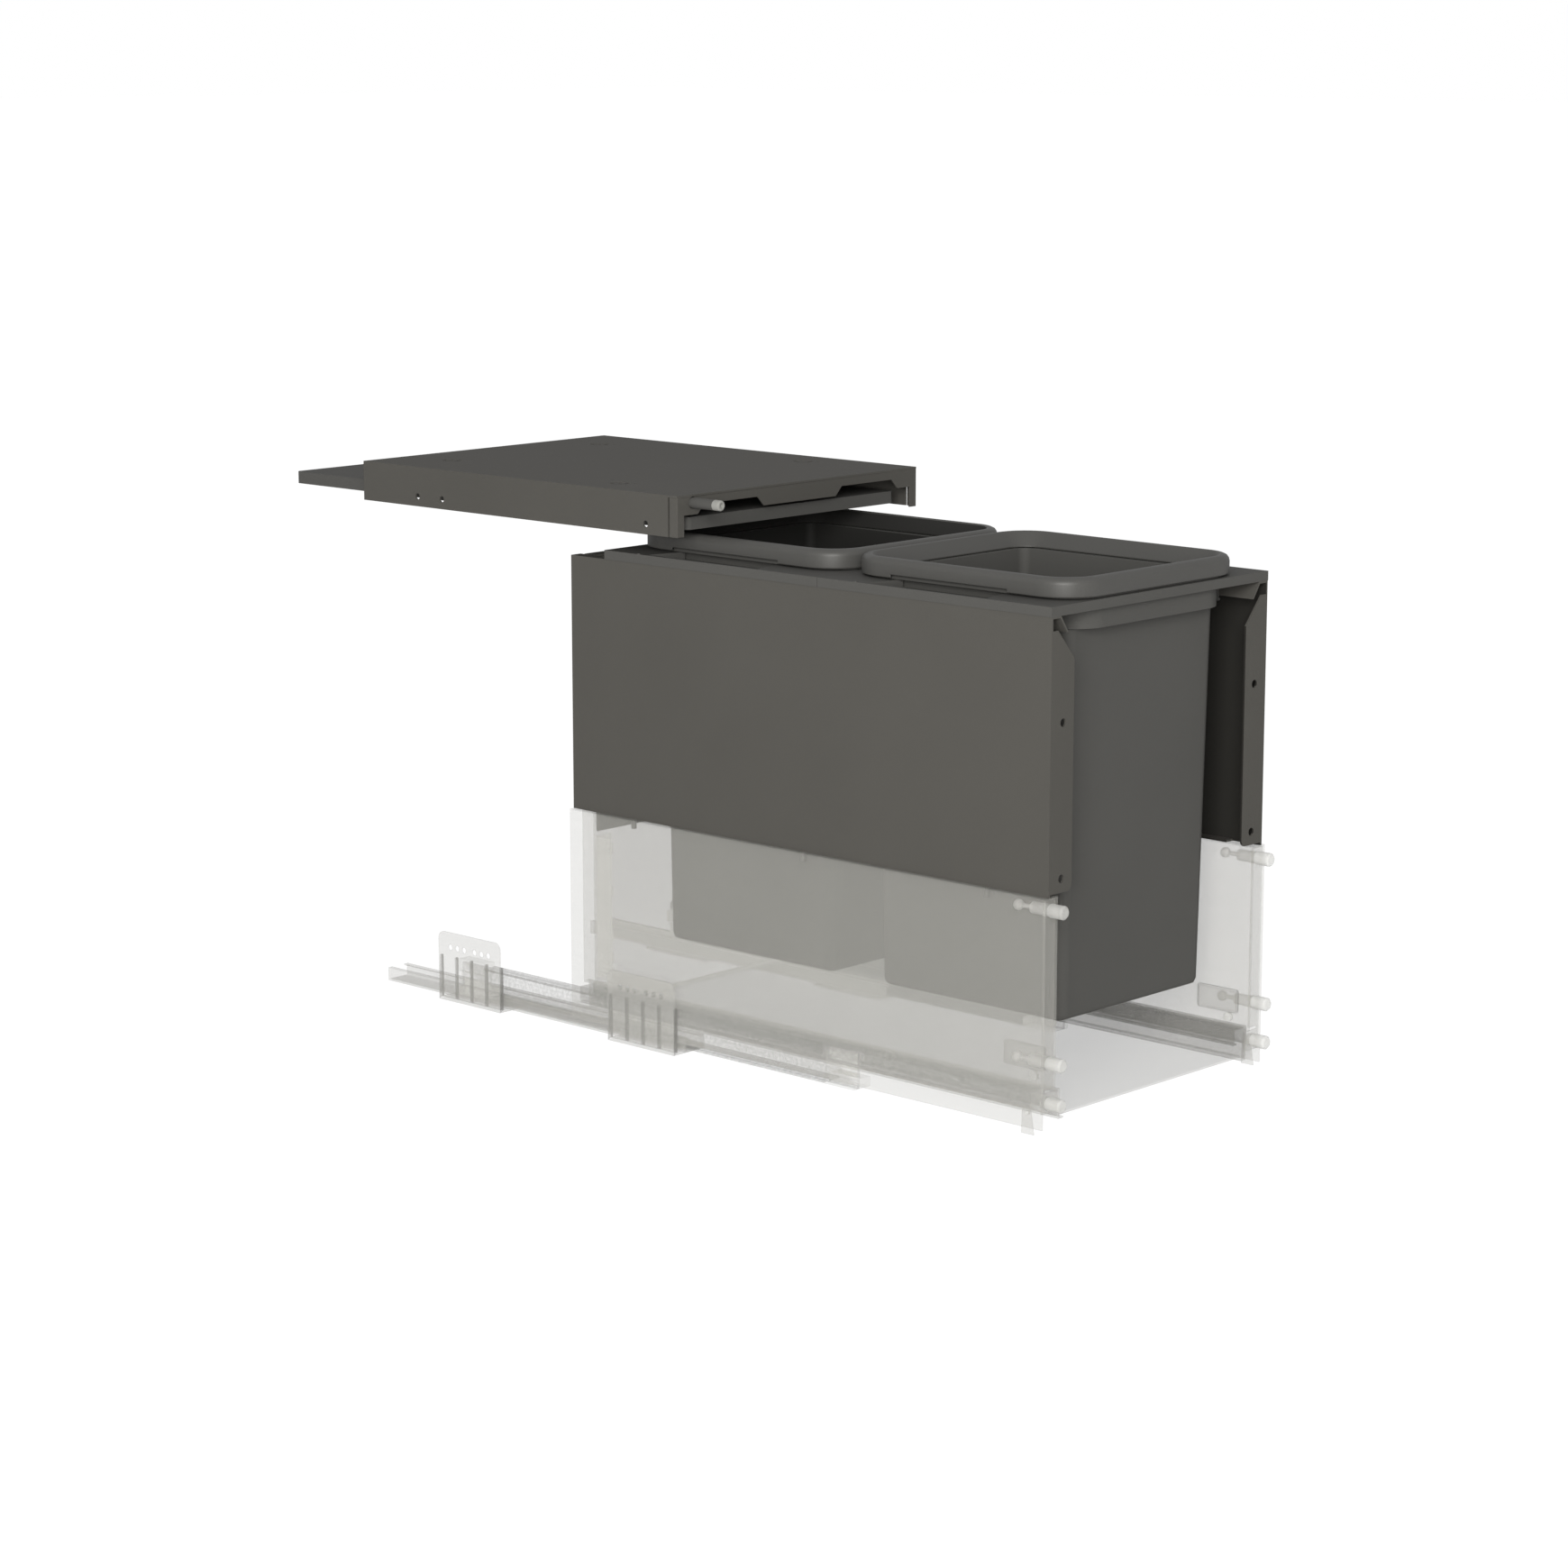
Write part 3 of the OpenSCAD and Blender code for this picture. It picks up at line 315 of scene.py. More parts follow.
def math_node(tree, operation, a, b):
    """Result of an operation on two numbers or links."""
    node = tree.nodes.new("ShaderNodeMath")
    node.operation = operation
    feed(tree, node.inputs[0], a)
    feed(tree, node.inputs[1], b)
    return node.outputs[0]


def noise_node(tree, vector, scale, detail):
    """Noise of a scale and a detail, from 0 to 1."""
    node = tree.nodes.new("ShaderNodeTexNoise")
    node.inputs["Detail"].default_value = detail
    tree.links.new(vector, node.inputs["Vector"])
    feed(tree, node.inputs["Scale"], scale)
    return node.outputs["Fac"]


def make_surface_group():
    """Fine grain with slow shading: colour, roughness and height over the surface."""
    group, start, end = new_group(
        "fine_surface",
        {
            "Vector": "vector",
            "Colour": (0.1, 0.1, 0.1, 1.0),
            "Roughness": 0.5,
            "Grain scale": 900.0,
            "Tone spread": 0.06,
            "Roughness spread": 0.03,
        },
        {"Colour": (0, 0, 0, 0), "Roughness": 0.0, "Height": 0.0},
    )
    links = group.links
    slow = noise_node(group, start.outputs["Vector"], SLOW_SCALE, 4.0)
    grain = noise_node(group, start.outputs["Vector"], start.outputs["Grain scale"], 2.0)
    both = math_node(group, "ADD", math_node(group, "MULTIPLY", slow, SLOW_SHARE),
                     math_node(group, "MULTIPLY", grain, 1.0 - SLOW_SHARE))
    centred = math_node(group, "SUBTRACT", both, 0.5)
    tone = math_node(group, "MULTIPLY", centred, start.outputs["Tone spread"])
    gain = math_node(group, "ADD", math_node(group, "MULTIPLY", tone, TONE_GAIN), 1.0)
    tint = group.nodes.new("ShaderNodeVectorMath")
    tint.operation = "SCALE"
    links.new(start.outputs["Colour"], tint.inputs[0])
    links.new(gain, tint.inputs["Scale"])
    links.new(tint.outputs[0], end.inputs["Colour"])
    rough = math_node(group, "MULTIPLY", centred, start.outputs["Roughness spread"])
    links.new(math_node(group, "ADD", start.outputs["Roughness"],
                        math_node(group, "MULTIPLY", rough, TONE_GAIN)),
              end.inputs["Roughness"])
    links.new(grain, end.inputs["Height"])
    return group


def make_brushed_group():
    """Streaks drawn along the piece's length, for rolled and drawn steel."""
    group, start, end = new_group(
        "drawn_streaks",
        {"Vector": "vector", "Streak scale": 600.0},
        {"Streak": 0.0},
    )
    stretch = group.nodes.new("ShaderNodeMapping")
    stretch.inputs["Scale"].default_value = (1.0, STREAK_STRETCH, 1.0)
    group.links.new(start.outputs["Vector"], stretch.inputs["Vector"])
    streak = noise_node(group, stretch.outputs[0], start.outputs["Streak scale"], 3.0)
    group.links.new(streak, end.inputs["Streak"])
    return group


def group_node(tree, name):
    """Node for a shader group, which is made when it is first asked for."""
    node = tree.nodes.new("ShaderNodeGroup")
    made = bpy.data.node_groups.get(name)
    if made is None:
        made = {"fine_surface": make_surface_group, "drawn_streaks": make_brushed_group}[name]()
    node.node_tree = made
    return node


def start_material():
    """Empty material with its shader and the piece's own coordinates."""
    material = bpy.data.materials.new("finish")
    material.use_nodes = True
    tree = material.node_tree
    shader = tree.nodes["Principled BSDF"]
    place = tree.nodes.new("ShaderNodeTexCoord")
    return material, tree, shader, place.outputs["Object"]


def add_surface(tree, shader, place, colour, rough, grain, spread):
    """Fine surface in a material, feeding its colour and roughness."""
    surface = group_node(tree, "fine_surface")
    tree.links.new(place, surface.inputs["Vector"])
    surface.inputs["Colour"].default_value = (*colour, 1.0)
    surface.inputs["Roughness"].default_value = rough
    surface.inputs["Grain scale"].default_value = 1.0 / grain
    surface.inputs["Tone spread"].default_value = spread
    tree.links.new(surface.outputs["Colour"], shader.inputs["Base Color"])
    tree.links.new(surface.outputs["Roughness"], shader.inputs["Roughness"])
    return surface


def grained(colour, rough, grain, bump, gloss=DARK_GLOSS):
    """Material with fine grain, slow tone changes and a shallow bump."""
    material, tree, shader, place = start_material()
    surface = add_surface(tree, shader, place, colour, rough, grain, DARK_SPREAD)
    shader.inputs["Specular IOR Level"].default_value = gloss
    relief = tree.nodes.new("ShaderNodeBump")
    relief.inputs["Strength"].default_value = bump
    relief.inputs["Distance"].default_value = RELIEF
    tree.links.new(surface.outputs["Height"], relief.inputs["Height"])
    tree.links.new(relief.outputs["Normal"], shader.inputs["Normal"])
    return material


def see_through(colour, cover, rough, streaks=0.0, mottle=0.0, grain=PALE_GRAIN):
    """Pale material that lets most light through, with more body in its streaks and on edge.

    Behind many layers it glows with painted light that stands for the white room, where a renderer
    would stop in black.
    """
    material, tree, shader, place = start_material()
    surface = add_surface(tree, shader, place, colour, rough, grain, PALE_SPREAD)
    shader.inputs["Specular IOR Level"].default_value = PALE_GLOSS
    drawn = group_node(tree, "drawn_streaks")
    tree.links.new(place, drawn.inputs["Vector"])
    body = math_node(tree, "MULTIPLY", math_node(tree, "SUBTRACT", drawn.outputs["Streak"], 0.5),
                     streaks)
    spots = math_node(
        tree, "MULTIPLY", math_node(tree, "SUBTRACT", surface.outputs["Height"], 0.5), mottle)
    on_edge = tree.nodes.new("ShaderNodeLayerWeight")
    grazing = math_node(tree, "MULTIPLY", math_node(
        tree, "POWER", on_edge.outputs["Facing"], EDGE_POWER), EDGE_COVER)
    path = tree.nodes.new("ShaderNodeLightPath")
    last = math_node(tree, "GREATER_THAN", path.outputs["Transparent Depth"], LAST_LAYER)
    solid = math_node(tree, "ADD", math_node(tree, "ADD", body, spots),
                      math_node(tree, "ADD", grazing, cover))
    alpha = math_node(tree, "MAXIMUM", solid, last)
    tree.links.new(alpha, shader.inputs["Alpha"])
    # Painted light: behind the last layer the face glows to stand for the white room
    shader.inputs["Emission Color"].default_value = GLOW_TINT
    tree.links.new(math_node(tree, "MULTIPLY", last, PAINTED_ROOM_GLOW),
                   shader.inputs["Emission Strength"])
    material.surface_render_method = "DITHERED"
    return material


def toned(colour, share):
    """Darker or lighter tone of a colour."""
    return [share * part for part in colour]


# Finishes by name, each made from the colours and sheens in the sidebar; the darker copies of the
# sheet, moulding, runner and drawer finishes are painted shade
MAKERS = {
    "dark_sheet": lambda s: grained(s.sheet_colour, s.sheet_rough, COAT_GRAIN, bump=0.25),
    # Painted shade: a darker copy of the sheet coat, for the panels' inner faces
    "painted_shade_sheet": lambda s: grained(
        toned(s.sheet_colour, 0.3), s.sheet_rough, COAT_GRAIN, bump=0.25),
    "dark_plastic": lambda s: grained(
        s.moulding_colour, s.moulding_rough, s.grain_size, bump=0.35),
    "rim_plastic": lambda s: grained(
        toned(s.moulding_colour, 0.9), s.moulding_rough - 0.2, s.grain_size, bump=0.35,
        gloss=0.35),
    # Painted shade: a darker copy of the moulding, for the inside of the back bin
    "painted_shade_plastic": lambda s: grained(
        toned(s.moulding_colour, 0.3), s.moulding_rough, s.grain_size, bump=0.35),
    "dark_steel": lambda s: grained(STEEL, 0.3, SMOOTH_GRAIN, bump=0.1, gloss=0.6),
    "soft_tip": lambda s: grained(RUBBER, 0.55, SMOOTH_GRAIN, bump=0.2),
    "bright_steel": lambda s: see_through(BRIGHT, cover=0.42, rough=0.3, streaks=0.1),
    "zinc_steel": lambda s: see_through(
        s.pale_colour, s.pale_cover * 1.1, rough=0.4, streaks=0.08),
    "rib_steel": lambda s: see_through(
        toned(s.pale_colour, 0.45), s.pale_cover * 2.4, rough=0.4),
    "thin_steel": lambda s: see_through(
        s.pale_colour, s.pale_cover * 0.4, rough=0.4, streaks=0.05),
    "runner_steel": lambda s: see_through(
        toned(s.pale_colour, 0.62), s.pale_cover * 1.12, rough=0.4, streaks=0.2, mottle=0.35,
        grain=RUNNER_GRAIN),
    # Painted shade: a darker copy of the runner finish, for the right runner
    "painted_shade_steel": lambda s: see_through(
        toned(s.pale_colour, 0.5), s.pale_cover * 1.75, rough=0.4, streaks=0.2, mottle=0.35,
        grain=RUNNER_GRAIN),
    "pale_plastic": lambda s: see_through(
        s.pale_colour, s.pale_cover * 1.15, rough=0.5, streaks=0.03),
    "pale_drawer": lambda s: see_through(s.pale_colour, s.pale_cover, rough=0.45, streaks=0.03),
    # Painted shade: a darker copy of the pale drawer finish
    "painted_shade_drawer": lambda s: see_through(
        toned(s.pale_colour, 0.6), s.pale_cover * 1.7, rough=0.45, streaks=0.03),
}


def material(name):
    """The finish of this name, made when it is first asked for."""
    found = bpy.data.materials.get("sorter_" + name)
    if found is None:
        found = MAKERS[name](settings())
        found.name = "sorter_" + name
    return found


def paint(piece, name):
    """Gives a whole piece one finish."""
    piece.data.materials.clear()
    piece.data.materials.append(material(name))


def recoat(piece, name, chosen):
    """Gives the faces of a piece that are chosen a finish of their own."""
    piece.data.materials.append(material(name))
    for face in piece.data.polygons:
        if chosen(face):
            face.material_index = len(piece.data.materials) - 1


def deselect():
    """Leaves no object selected."""
    bpy.ops.object.select_all(action="DESELECT")


def pick(piece):
    """Selects one object alone and makes it the active one."""
    deselect()
    piece.select_set(True)
    bpy.context.view_layer.objects.active = piece


def modify(piece, kind, **values):
    """Adds a modifier with these values and applies it."""
    pick(piece)
    bpy.ops.object.modifier_add(type=kind)
    added = piece.modifiers[-1]
    for key, value in values.items():
        setattr(added, key, value)
    bpy.ops.object.modifier_apply(modifier=added.name)


def round_edges(piece, width, past):
    """Rounds every edge between faces that meet at more than this angle."""
    modify(
        piece, "BEVEL", width=width, segments=2, limit_method="ANGLE", angle_limit=past,
        use_clamp_overlap=True, harden_normals=False,
    )


def even_shading(piece):
    """Keeps the shading of wide faces flat beside their rounded edges."""
    modify(piece, "WEIGHTED_NORMAL", mode="FACE_AREA", weight=100, keep_sharp=True)


def settle(piece, node, finish=None):
    """Puts a finished piece on its node's body, in its node's place and finish."""
    pick(piece)
    bpy.ops.object.transform_apply(location=True, rotation=True, scale=True)
    bpy.ops.object.shade_smooth_by_angle(angle=SHARP_PAST)
    paint(piece, finish or SLOT_OF[node])
    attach(piece, NODE_BODY[node])
    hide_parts(node)
    even_shading(piece)


def edit_new(name, mesh):
    """New object for this mesh, opened in edit mode."""
    piece = bpy.data.objects.new(name, mesh)
    bpy.context.scene.collection.objects.link(piece)
    pick(piece)
    bpy.ops.object.mode_set(mode="EDIT")
    return piece


def softened(node, width, finish=None):
    """Merged copy of a node's solid with its sharp edges rounded."""
    piece = edit_new("soft_" + node, frame["nodes"][node].data.copy())
    bpy.ops.mesh.select_all(action="SELECT")
    bpy.ops.mesh.remove_doubles(threshold=MERGE_WITHIN)
    bpy.ops.mesh.dissolve_limited(angle_limit=FLAT_WITHIN)
    bpy.ops.object.mode_set(mode="OBJECT")
    round_edges(piece, width, ROUND_PAST)
    settle(piece, node, finish)
    return piece


def add_ring(centre, width, depth, corner, z):
    """Rounded rectangle in the mesh being edited, left selected."""
    bpy.ops.mesh.select_all(action="DESELECT")
    bpy.ops.mesh.primitive_plane_add(size=1.0, location=(0.0, 0.0, 0.0))
    bpy.ops.transform.resize(value=(width, depth, 1.0), center_override=(0.0, 0.0, 0.0))
    bpy.ops.mesh.bevel(
        offset=corner, segments=sizes().corner_steps, affect="VERTICES", clamp_overlap=False)
    bpy.ops.transform.translate(value=(0.0, centre, z))


def pick_rings(piece, first, count):
    """Selects these rings' edges in the mesh being edited."""
    ring = 4 * (sizes().corner_steps + 1)
    bpy.ops.mesh.select_all(action="DESELECT")
    bpy.ops.object.mode_set(mode="OBJECT")
    for vertex in piece.data.vertices:
        vertex.select = first * ring <= vertex.index < (first + count) * ring
    bpy.ops.object.mode_set(mode="EDIT")


def lofted(name, centre, rings):
    """Closed solid through rounded rectangles, up from its outer floor, down to its inner one."""
    piece = edit_new(name, bpy.data.meshes.new(name))
    bpy.ops.mesh.select_mode(type="VERT")
    for ring in rings:
        add_ring(centre, *ring)
    bpy.ops.mesh.select_all(action="SELECT")
    bpy.ops.mesh.delete(type="ONLY_FACE")
    for first in range(len(rings) - 1):
        pick_rings(piece, first, 2)
        bpy.ops.mesh.bridge_edge_loops()
    for last in (0, len(rings) - 1):
        pick_rings(piece, last, 1)
        bpy.ops.mesh.edge_face_add()
    bpy.ops.mesh.select_all(action="SELECT")
    bpy.ops.mesh.normals_make_consistent(inside=False)
    bpy.ops.object.mode_set(mode="OBJECT")
    return piece


def finish_node(node, name):
    """Gives a node that keeps its own solid its finish."""
    paint(frame["nodes"][node], name)


class SORTER_OT_cover(bpy.types.Operator):
    """Dark side panels and back of the carrier, with rounded folds and painted shade on the
    panels' inner faces
    """

    bl_idname = "sorter.cover"
    bl_label = "Cover and lid"

    def execute(self, context):
        for node in ("cover_shelf", "cover_front_frame"):
            softened(node, sizes().sheet_round)
        softened("lid_plate", sizes().moulding_round)
        finish_node("lid_bushes", "dark_plastic")
        finish_node("lid_guide_screws", "dark_sheet")
        return {"FINISHED"}


class SORTER_OT_carrier(bpy.types.Operator):
    """Dark side panels and back of the carrier, with rounded folds"""

    bl_idname = "sorter.carrier"
    bl_label = "Carrier"

    def execute(self, context):
        for side in SIDES:
            panel = softened("carrier_side_" + side, sizes().sheet_round)
            outward = 1 if side == "right" else -1
            # Painted shade: the panel's inner and downward faces get a darker copy of its coat
            recoat(panel, "painted_shade_sheet", lambda face: (
                outward * face.normal.x < HARDLY and abs(face.normal.y) < PARTLY
                and face.normal.z < PARTLY))
            finish_node("carrier_screws_" + side, "dark_steel")
        softened("carrier_back", sizes().sheet_round)
        return {"FINISHED"}


class SORTER_OT_trays(bpy.types.Operator):
    """Trays round the bins, with rounded edges"""

    bl_idname = "sorter.trays"
    bl_label = "Trays"

    def execute(self, context):
        for end in ENDS:
            softened("tray_" + end, sizes().moulding_round)
        return {"FINISHED"}


# A bin's steps from its flange to its collar and from its collar to its wall, its taper and rounds
COLLAR_IN = (8.0 * MM, 1.7 * MM)
WALL_IN = (4.0 * MM, 11.6 * MM)
TAPER = (2.4 * MM, 4.7 * MM)
FLANGE_H = 3.5 * MM
COLLAR_H = 22 * MM
DRAFT = 0.2 * MM
FLANGE_ROUND = 29.8 * MM
COLLAR_ROUND = 28.1 * MM
# The round at a bin's foot has one step between floor and wall, as shares of its radius
FOOT_IN = 0.3
FOOT_UP = 0.3


class SORTER_OT_bins(bpy.types.Operator):
    """Bins and their bag frames"""

    bl_idname = "sorter.bins"
    bl_label = "Bins and bag frames"

    def execute(self, context):
        for end in ENDS:
            body = self.bin(end)
            rim = softened("bag_frame_" + end, sizes().moulding_round, "rim_plastic")
            # Painted shade inside the back bin and its bag frame, where the lid shades them
            if end == "back":
                self.paint_shade_inside((body, rim), "bin_back")
        return {"FINISHED"}

    def bin(self, end):
        """Bin drawn up level by level: foot, wall, collar, flange, and down inside."""
        node = "bin_" + end
        low, high = (Vector(corner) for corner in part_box(node))
        flange_w, flange_d = high.x - low.x, high.y - low.y
        wall = sizes().bin_wall
        corner = sizes().bin_corner
        foot = sizes().bin_foot
        collar_w, collar_d = flange_w - 2 * COLLAR_IN[0], flange_d - 2 * COLLAR_IN[1]
        top_w, top_d = collar_w - 2 * WALL_IN[0], collar_d - 2 * WALL_IN[1]
        low_w, low_d = top_w - 2 * TAPER[0], top_d - 2 * TAPER[1]
        flange_low = high.z - FLANGE_H
        collar_low = flange_low - COLLAR_H
        snug = corner - wall
        rings = [
            (low_w - 2 * foot, low_d - 2 * foot, corner - foot, low.z),
            (low_w - 2 * FOOT_IN * foot, low_d - 2 * FOOT_IN * foot, corner - FOOT_IN * foot,
             low.z + FOOT_UP * foot),
            (low_w, low_d, corner, low.z + foot),
            (top_w, top_d, corner, collar_low),
            (collar_w, collar_d, COLLAR_ROUND, collar_low + DRAFT),
            (collar_w, collar_d, COLLAR_ROUND, flange_low),
            (flange_w, flange_d, FLANGE_ROUND, flange_low + DRAFT),
            (flange_w, flange_d, FLANGE_ROUND, high.z),
            (top_w - 2 * wall, top_d - 2 * wall, snug, high.z - DRAFT),
            (low_w - 2 * wall, low_d - 2 * wall, snug, low.z + foot + wall),
            (low_w - 2 * foot, low_d - 2 * foot, snug - foot + wall, low.z + wall),
        ]
        piece = lofted(node + "_drawn", (low.y + high.y) / 2, rings)
        round_edges(piece, sizes().moulding_round, BIN_ROUND_PAST)
        settle(piece, node)
        return piece

    def paint_shade_inside(self, pieces, node):
        """Painted shade: a darker coat on the faces that look into a bin, and on its floor."""
        low, high = (Vector(corner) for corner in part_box(node))
        middle = (low + high) / 2
        for piece in pieces:
            recoat(piece, "painted_shade_plastic", lambda face: (
                face.normal.z > MOSTLY and face.center.z < middle.z
                or abs(face.normal.z) < MOSTLY
                and (face.center - middle).xy.dot(face.normal.xy) < 0))


# Finishes of the drawer's pieces on either side
DRAWER_FINISHES = {
    "drawer_side": "pale_drawer",
    "back_bracket": "thin_steel",
    "front_connector": "pale_drawer",
    "front_plugs": "bright_steel",
    "adjuster_cover": "pale_plastic",
    "adjuster_screw": "bright_steel",
    "catch_lever": "pale_plastic",
    "catch_pin": "bright_steel",
}


class SORTER_OT_drawer(bpy.types.Operator):
    """Pale drawer with its members, corner brackets and front fixings"""

    bl_idname = "sorter.drawer"
    bl_label = "Drawer"

    def execute(self, context):
        for node in ("drawer_floor", "drawer_back"):
            finish_node(node, "pale_drawer")
        for side in SIDES:
            for piece, finish in DRAWER_FINISHES.items():
                finish_node(f"{piece}_{side}", finish)
            finish_node("drawer_member_" + side, RUNNER_TONES_WITH_PAINTED_SHADE[side])
            recoat(frame["nodes"]["adjuster_cover_" + side], "rib_steel",
                   lambda face: abs(face.normal.x) < PARTLY)
        # Painted shade: the right side's base walls get a darker copy of the pale finish, for the
        # shade of the bins
        recoat(frame["nodes"]["drawer_side_right"], "painted_shade_drawer", lambda face: (
            abs(face.normal.x) > FULLY and abs(face.center.x) < BASE_REACH))
        return {"FINISHED"}


class SORTER_OT_runners(bpy.types.Operator):
    """Rails, middle members, glides and wall brackets"""

    bl_idname = "sorter.runners"
    bl_label = "Runners"

    def execute(self, context):
        for side in SIDES:
            finish_node("runner_rail_" + side, "zinc_steel")
            finish_node("rail_rivets_" + side, "zinc_steel")
            finish_node("middle_member_" + side, RUNNER_TONES_WITH_PAINTED_SHADE[side])
            finish_node("middle_glides_" + side, "thin_steel")
            for end in ("front", "rear"):
                self.bracket(f"bracket_{end}_{side}")
        return {"FINISHED"}

    def bracket(self, node):
        """Bracket with its ribs in a denser finish."""
        finish_node(node, "zinc_steel")
        piece = frame["nodes"][node]
        wall = max(abs(corner.co.x) for corner in piece.data.vertices)
        foot = min(corner.co.z for corner in piece.data.vertices)
        recoat(piece, "rib_steel", lambda face: (
            RIB_FROM < wall - abs(face.center.x) < RIB_TO
            and face.center.z > foot + RIB_FOOT))


# Rounding of the damper's sleeve and of its soft tip
PLUNGER_EDGE = 0.4 * MM
TIP_EDGE = 0.5 * MM


class SORTER_OT_damper(bpy.types.Operator):
    """Damper beside the cover's front plate"""

    bl_idname = "sorter.damper"
    bl_label = "Damper"

    def execute(self, context):
        finish_node("damper_body", "dark_steel")
        softened("damper_plunger", PLUNGER_EDGE)
        softened("damper_tip", TIP_EDGE)
        return {"FINISHED"}


# Size of the floor, its gap below the object, and its glow where the camera sees it
FLOOR_SIZE = 60.0
FLOOR_GAP = 1 * MM
FLOOR_GLOW = 0.97
FLOOR_PALE = (0.8, 0.8, 0.8, 1.0)
FLOOR_SEEN = (0.1, 0.1, 0.1, 1.0)
# Soft box: its place from the object's middle, its width and height, and its tint
BOX_FROM_MIDDLE = (-3.38, -2.7, 1.3)
BOX_SIZE = (2.4, 2.0)
BOX_TINT = (1.0, 0.985, 0.95)
# Camera: its place, the side and height that it looks from, its sensor, and how far it sees
CAMERA_AT = (-2192.7 * MM, -2023.1 * MM, 769.8 * MM)
AZIMUTH = math.radians(-47.05)
ELEVATION = math.radians(10.97)
SENSOR_WIDTH = 36.0
NEAREST = 0.05
FARTHEST = 200.0


def by_camera(tree, unseen, seen, out):
    """Shows the camera one shader and everything else another."""
    path = tree.nodes.new("ShaderNodeLightPath")
    mix = tree.nodes.new("ShaderNodeMixShader")
    tree.links.new(path.outputs["Is Camera Ray"], mix.inputs[0])
    tree.links.new(unseen.outputs[0], mix.inputs[1])
    tree.links.new(seen.outputs[0], mix.inputs[2])
    tree.links.new(mix.outputs[0], out.inputs["Surface"])


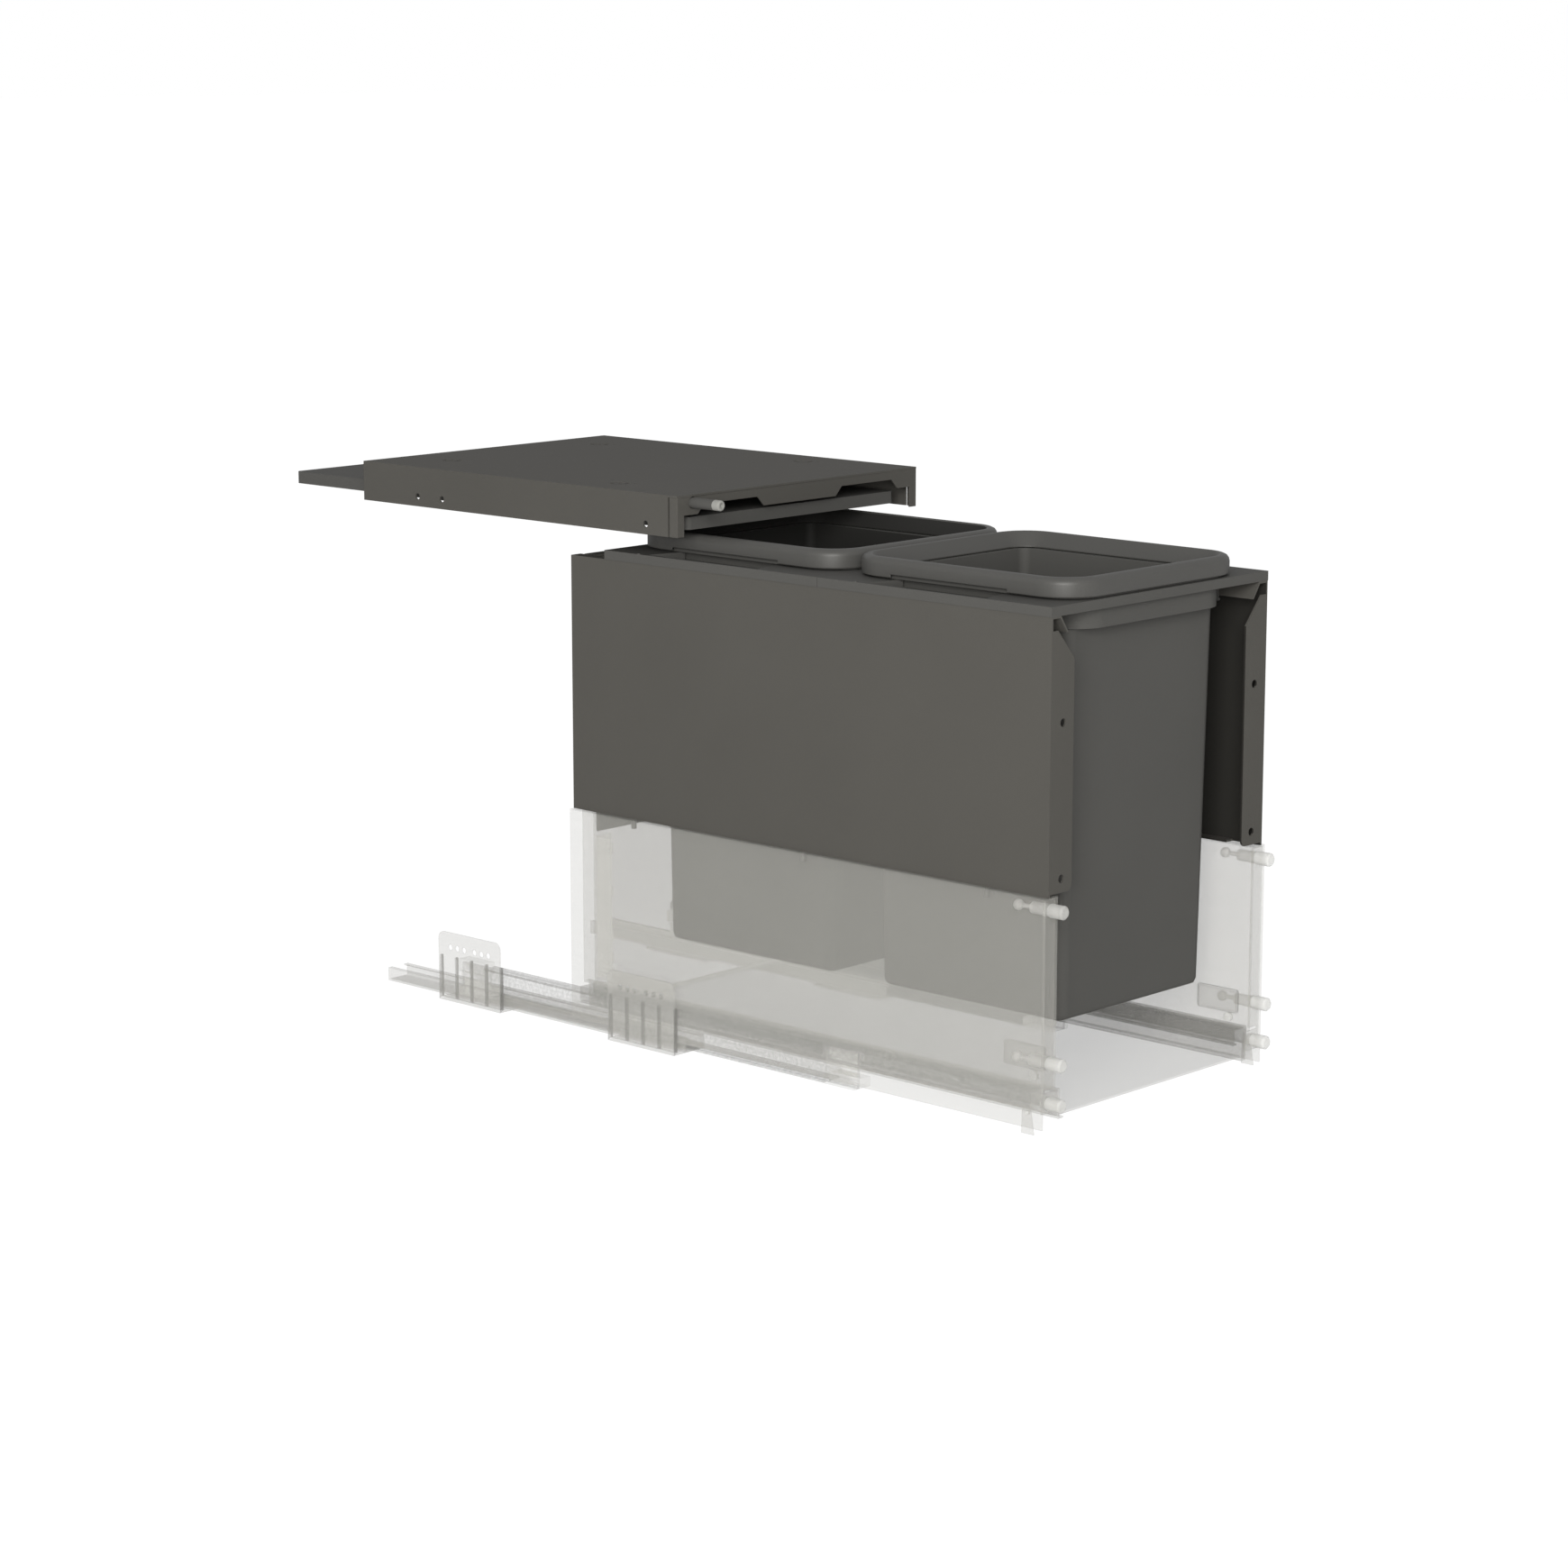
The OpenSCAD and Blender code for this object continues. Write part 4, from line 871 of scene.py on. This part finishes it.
class SORTER_OT_stage(bpy.types.Operator):
    """Floor, room light, soft box and camera"""

    bl_idname = "sorter.stage"
    bl_label = "Stage"

    def execute(self, context):
        stage = context.scene.sorter_stage
        self.floor()
        self.room(context.scene, stage)
        self.soft_box(stage)
        self.camera(context.scene, stage)
        return {"FINISHED"}

    def floor(self):
        """Pale floor that the camera sees as white, with the object's shadow."""
        deselect()
        low = Vector(CAD_BOX[0])
        bpy.ops.mesh.primitive_plane_add(size=FLOOR_SIZE, location=(0, 0, low.z - FLOOR_GAP))
        ground = bpy.context.object
        ground.name = "floor"
        bpy.ops.object.transform_apply(location=True)
        pale = bpy.data.materials.new("floor_white")
        pale.use_nodes = True
        tree = pale.node_tree
        tree.nodes.clear()
        out = tree.nodes.new("ShaderNodeOutputMaterial")
        matt = tree.nodes.new("ShaderNodeBsdfDiffuse")
        matt.inputs["Color"].default_value = FLOOR_PALE
        seen = tree.nodes.new("ShaderNodeBsdfDiffuse")
        seen.inputs["Color"].default_value = FLOOR_SEEN
        glow = tree.nodes.new("ShaderNodeEmission")
        glow.inputs["Strength"].default_value = FLOOR_GLOW
        both = tree.nodes.new("ShaderNodeAddShader")
        tree.links.new(seen.outputs[0], both.inputs[0])
        tree.links.new(glow.outputs[0], both.inputs[1])
        by_camera(tree, matt, both, out)
        ground.data.materials.append(pale)

    def room(self, scene, stage):
        """Even light from all round, which the camera sees as white."""
        world = bpy.data.worlds.new("room")
        scene.world = world
        world.use_nodes = True
        tree = world.node_tree
        light = tree.nodes["Background"]
        light.inputs["Color"].default_value = WHITE
        light.inputs["Strength"].default_value = stage.world_strength
        seen = tree.nodes.new("ShaderNodeBackground")
        seen.inputs["Strength"].default_value = 1.0
        seen.inputs["Color"].default_value = WHITE
        by_camera(tree, light, seen, tree.nodes["World Output"])

    def soft_box(self, stage):
        """Large soft box in front of the object, to its left."""
        centre = (Vector(CAD_BOX[0]) + Vector(CAD_BOX[1])) / 2
        deselect()
        bpy.ops.object.light_add(type="AREA", location=centre + Vector(BOX_FROM_MIDDLE))
        box = bpy.context.object
        box.name = "soft_box"
        box.data.shape = "RECTANGLE"
        box.data.size, box.data.size_y = BOX_SIZE
        box.data.energy = stage.key_power
        box.data.color = BOX_TINT
        box.rotation_mode = "QUATERNION"
        box.rotation_quaternion = (centre - box.location).to_track_quat("-Z", "Y")

    def camera(self, scene, stage):
        """The photograph's view: 47 degrees to the left of the front, 11 degrees above."""
        deselect()
        bpy.ops.object.camera_add(location=CAMERA_AT)
        view = bpy.context.object
        view.name = "camera"
        back = Vector((
            math.sin(AZIMUTH) * math.cos(ELEVATION),
            -math.cos(AZIMUTH) * math.cos(ELEVATION),
            math.sin(ELEVATION),
        ))
        view.rotation_mode = "QUATERNION"
        view.rotation_quaternion = (-back).to_track_quat("-Z", "Y")
        view.data.lens = stage.lens
        view.data.sensor_width = SENSOR_WIDTH
        view.data.clip_start = NEAREST
        view.data.clip_end = FARTHEST
        scene.camera = view


class SORTER_PT_panel(bpy.types.Panel):
    """Lists the sorter's pieces and settings in the sidebar"""

    bl_idname = "SORTER_PT_panel"
    bl_label = "Waste sorter"
    bl_space_type = "VIEW_3D"
    bl_region_type = "UI"
    bl_category = "Sorter"

    def draw(self, context):
        for group in ("sorter_finishes", "sorter_sizes", "sorter_stage"):
            box = self.layout.box()
            values = getattr(context.scene, group)
            for name in values.__annotations__:
                box.prop(values, name)
        for operator in OPERATORS:
            self.layout.operator(operator.bl_idname)


GROUPS = {
    "sorter_finishes": SorterFinishes,
    "sorter_sizes": SorterSizes,
    "sorter_stage": SorterStage,
}
OPERATORS = (
    SORTER_OT_stage,
    SORTER_OT_cover,
    SORTER_OT_carrier,
    SORTER_OT_trays,
    SORTER_OT_bins,
    SORTER_OT_drawer,
    SORTER_OT_runners,
    SORTER_OT_damper,
)


def register():
    for made in (*GROUPS.values(), *OPERATORS, SORTER_PT_panel):
        bpy.utils.register_class(made)
    for name, group in GROUPS.items():
        setattr(bpy.types.Scene, name, bpy.props.PointerProperty(type=group))


def unregister():
    for name in GROUPS:
        delattr(bpy.types.Scene, name)
    for made in reversed((*GROUPS.values(), *OPERATORS, SORTER_PT_panel)):
        bpy.utils.unregister_class(made)


def main():
    register()
    bpy.context.scene.view_settings.view_transform = "Standard"
    for operator in OPERATORS:
        group, name = operator.bl_idname.split(".")
        getattr(getattr(bpy.ops, group), name)()


if __name__ == "__main__":
    main()
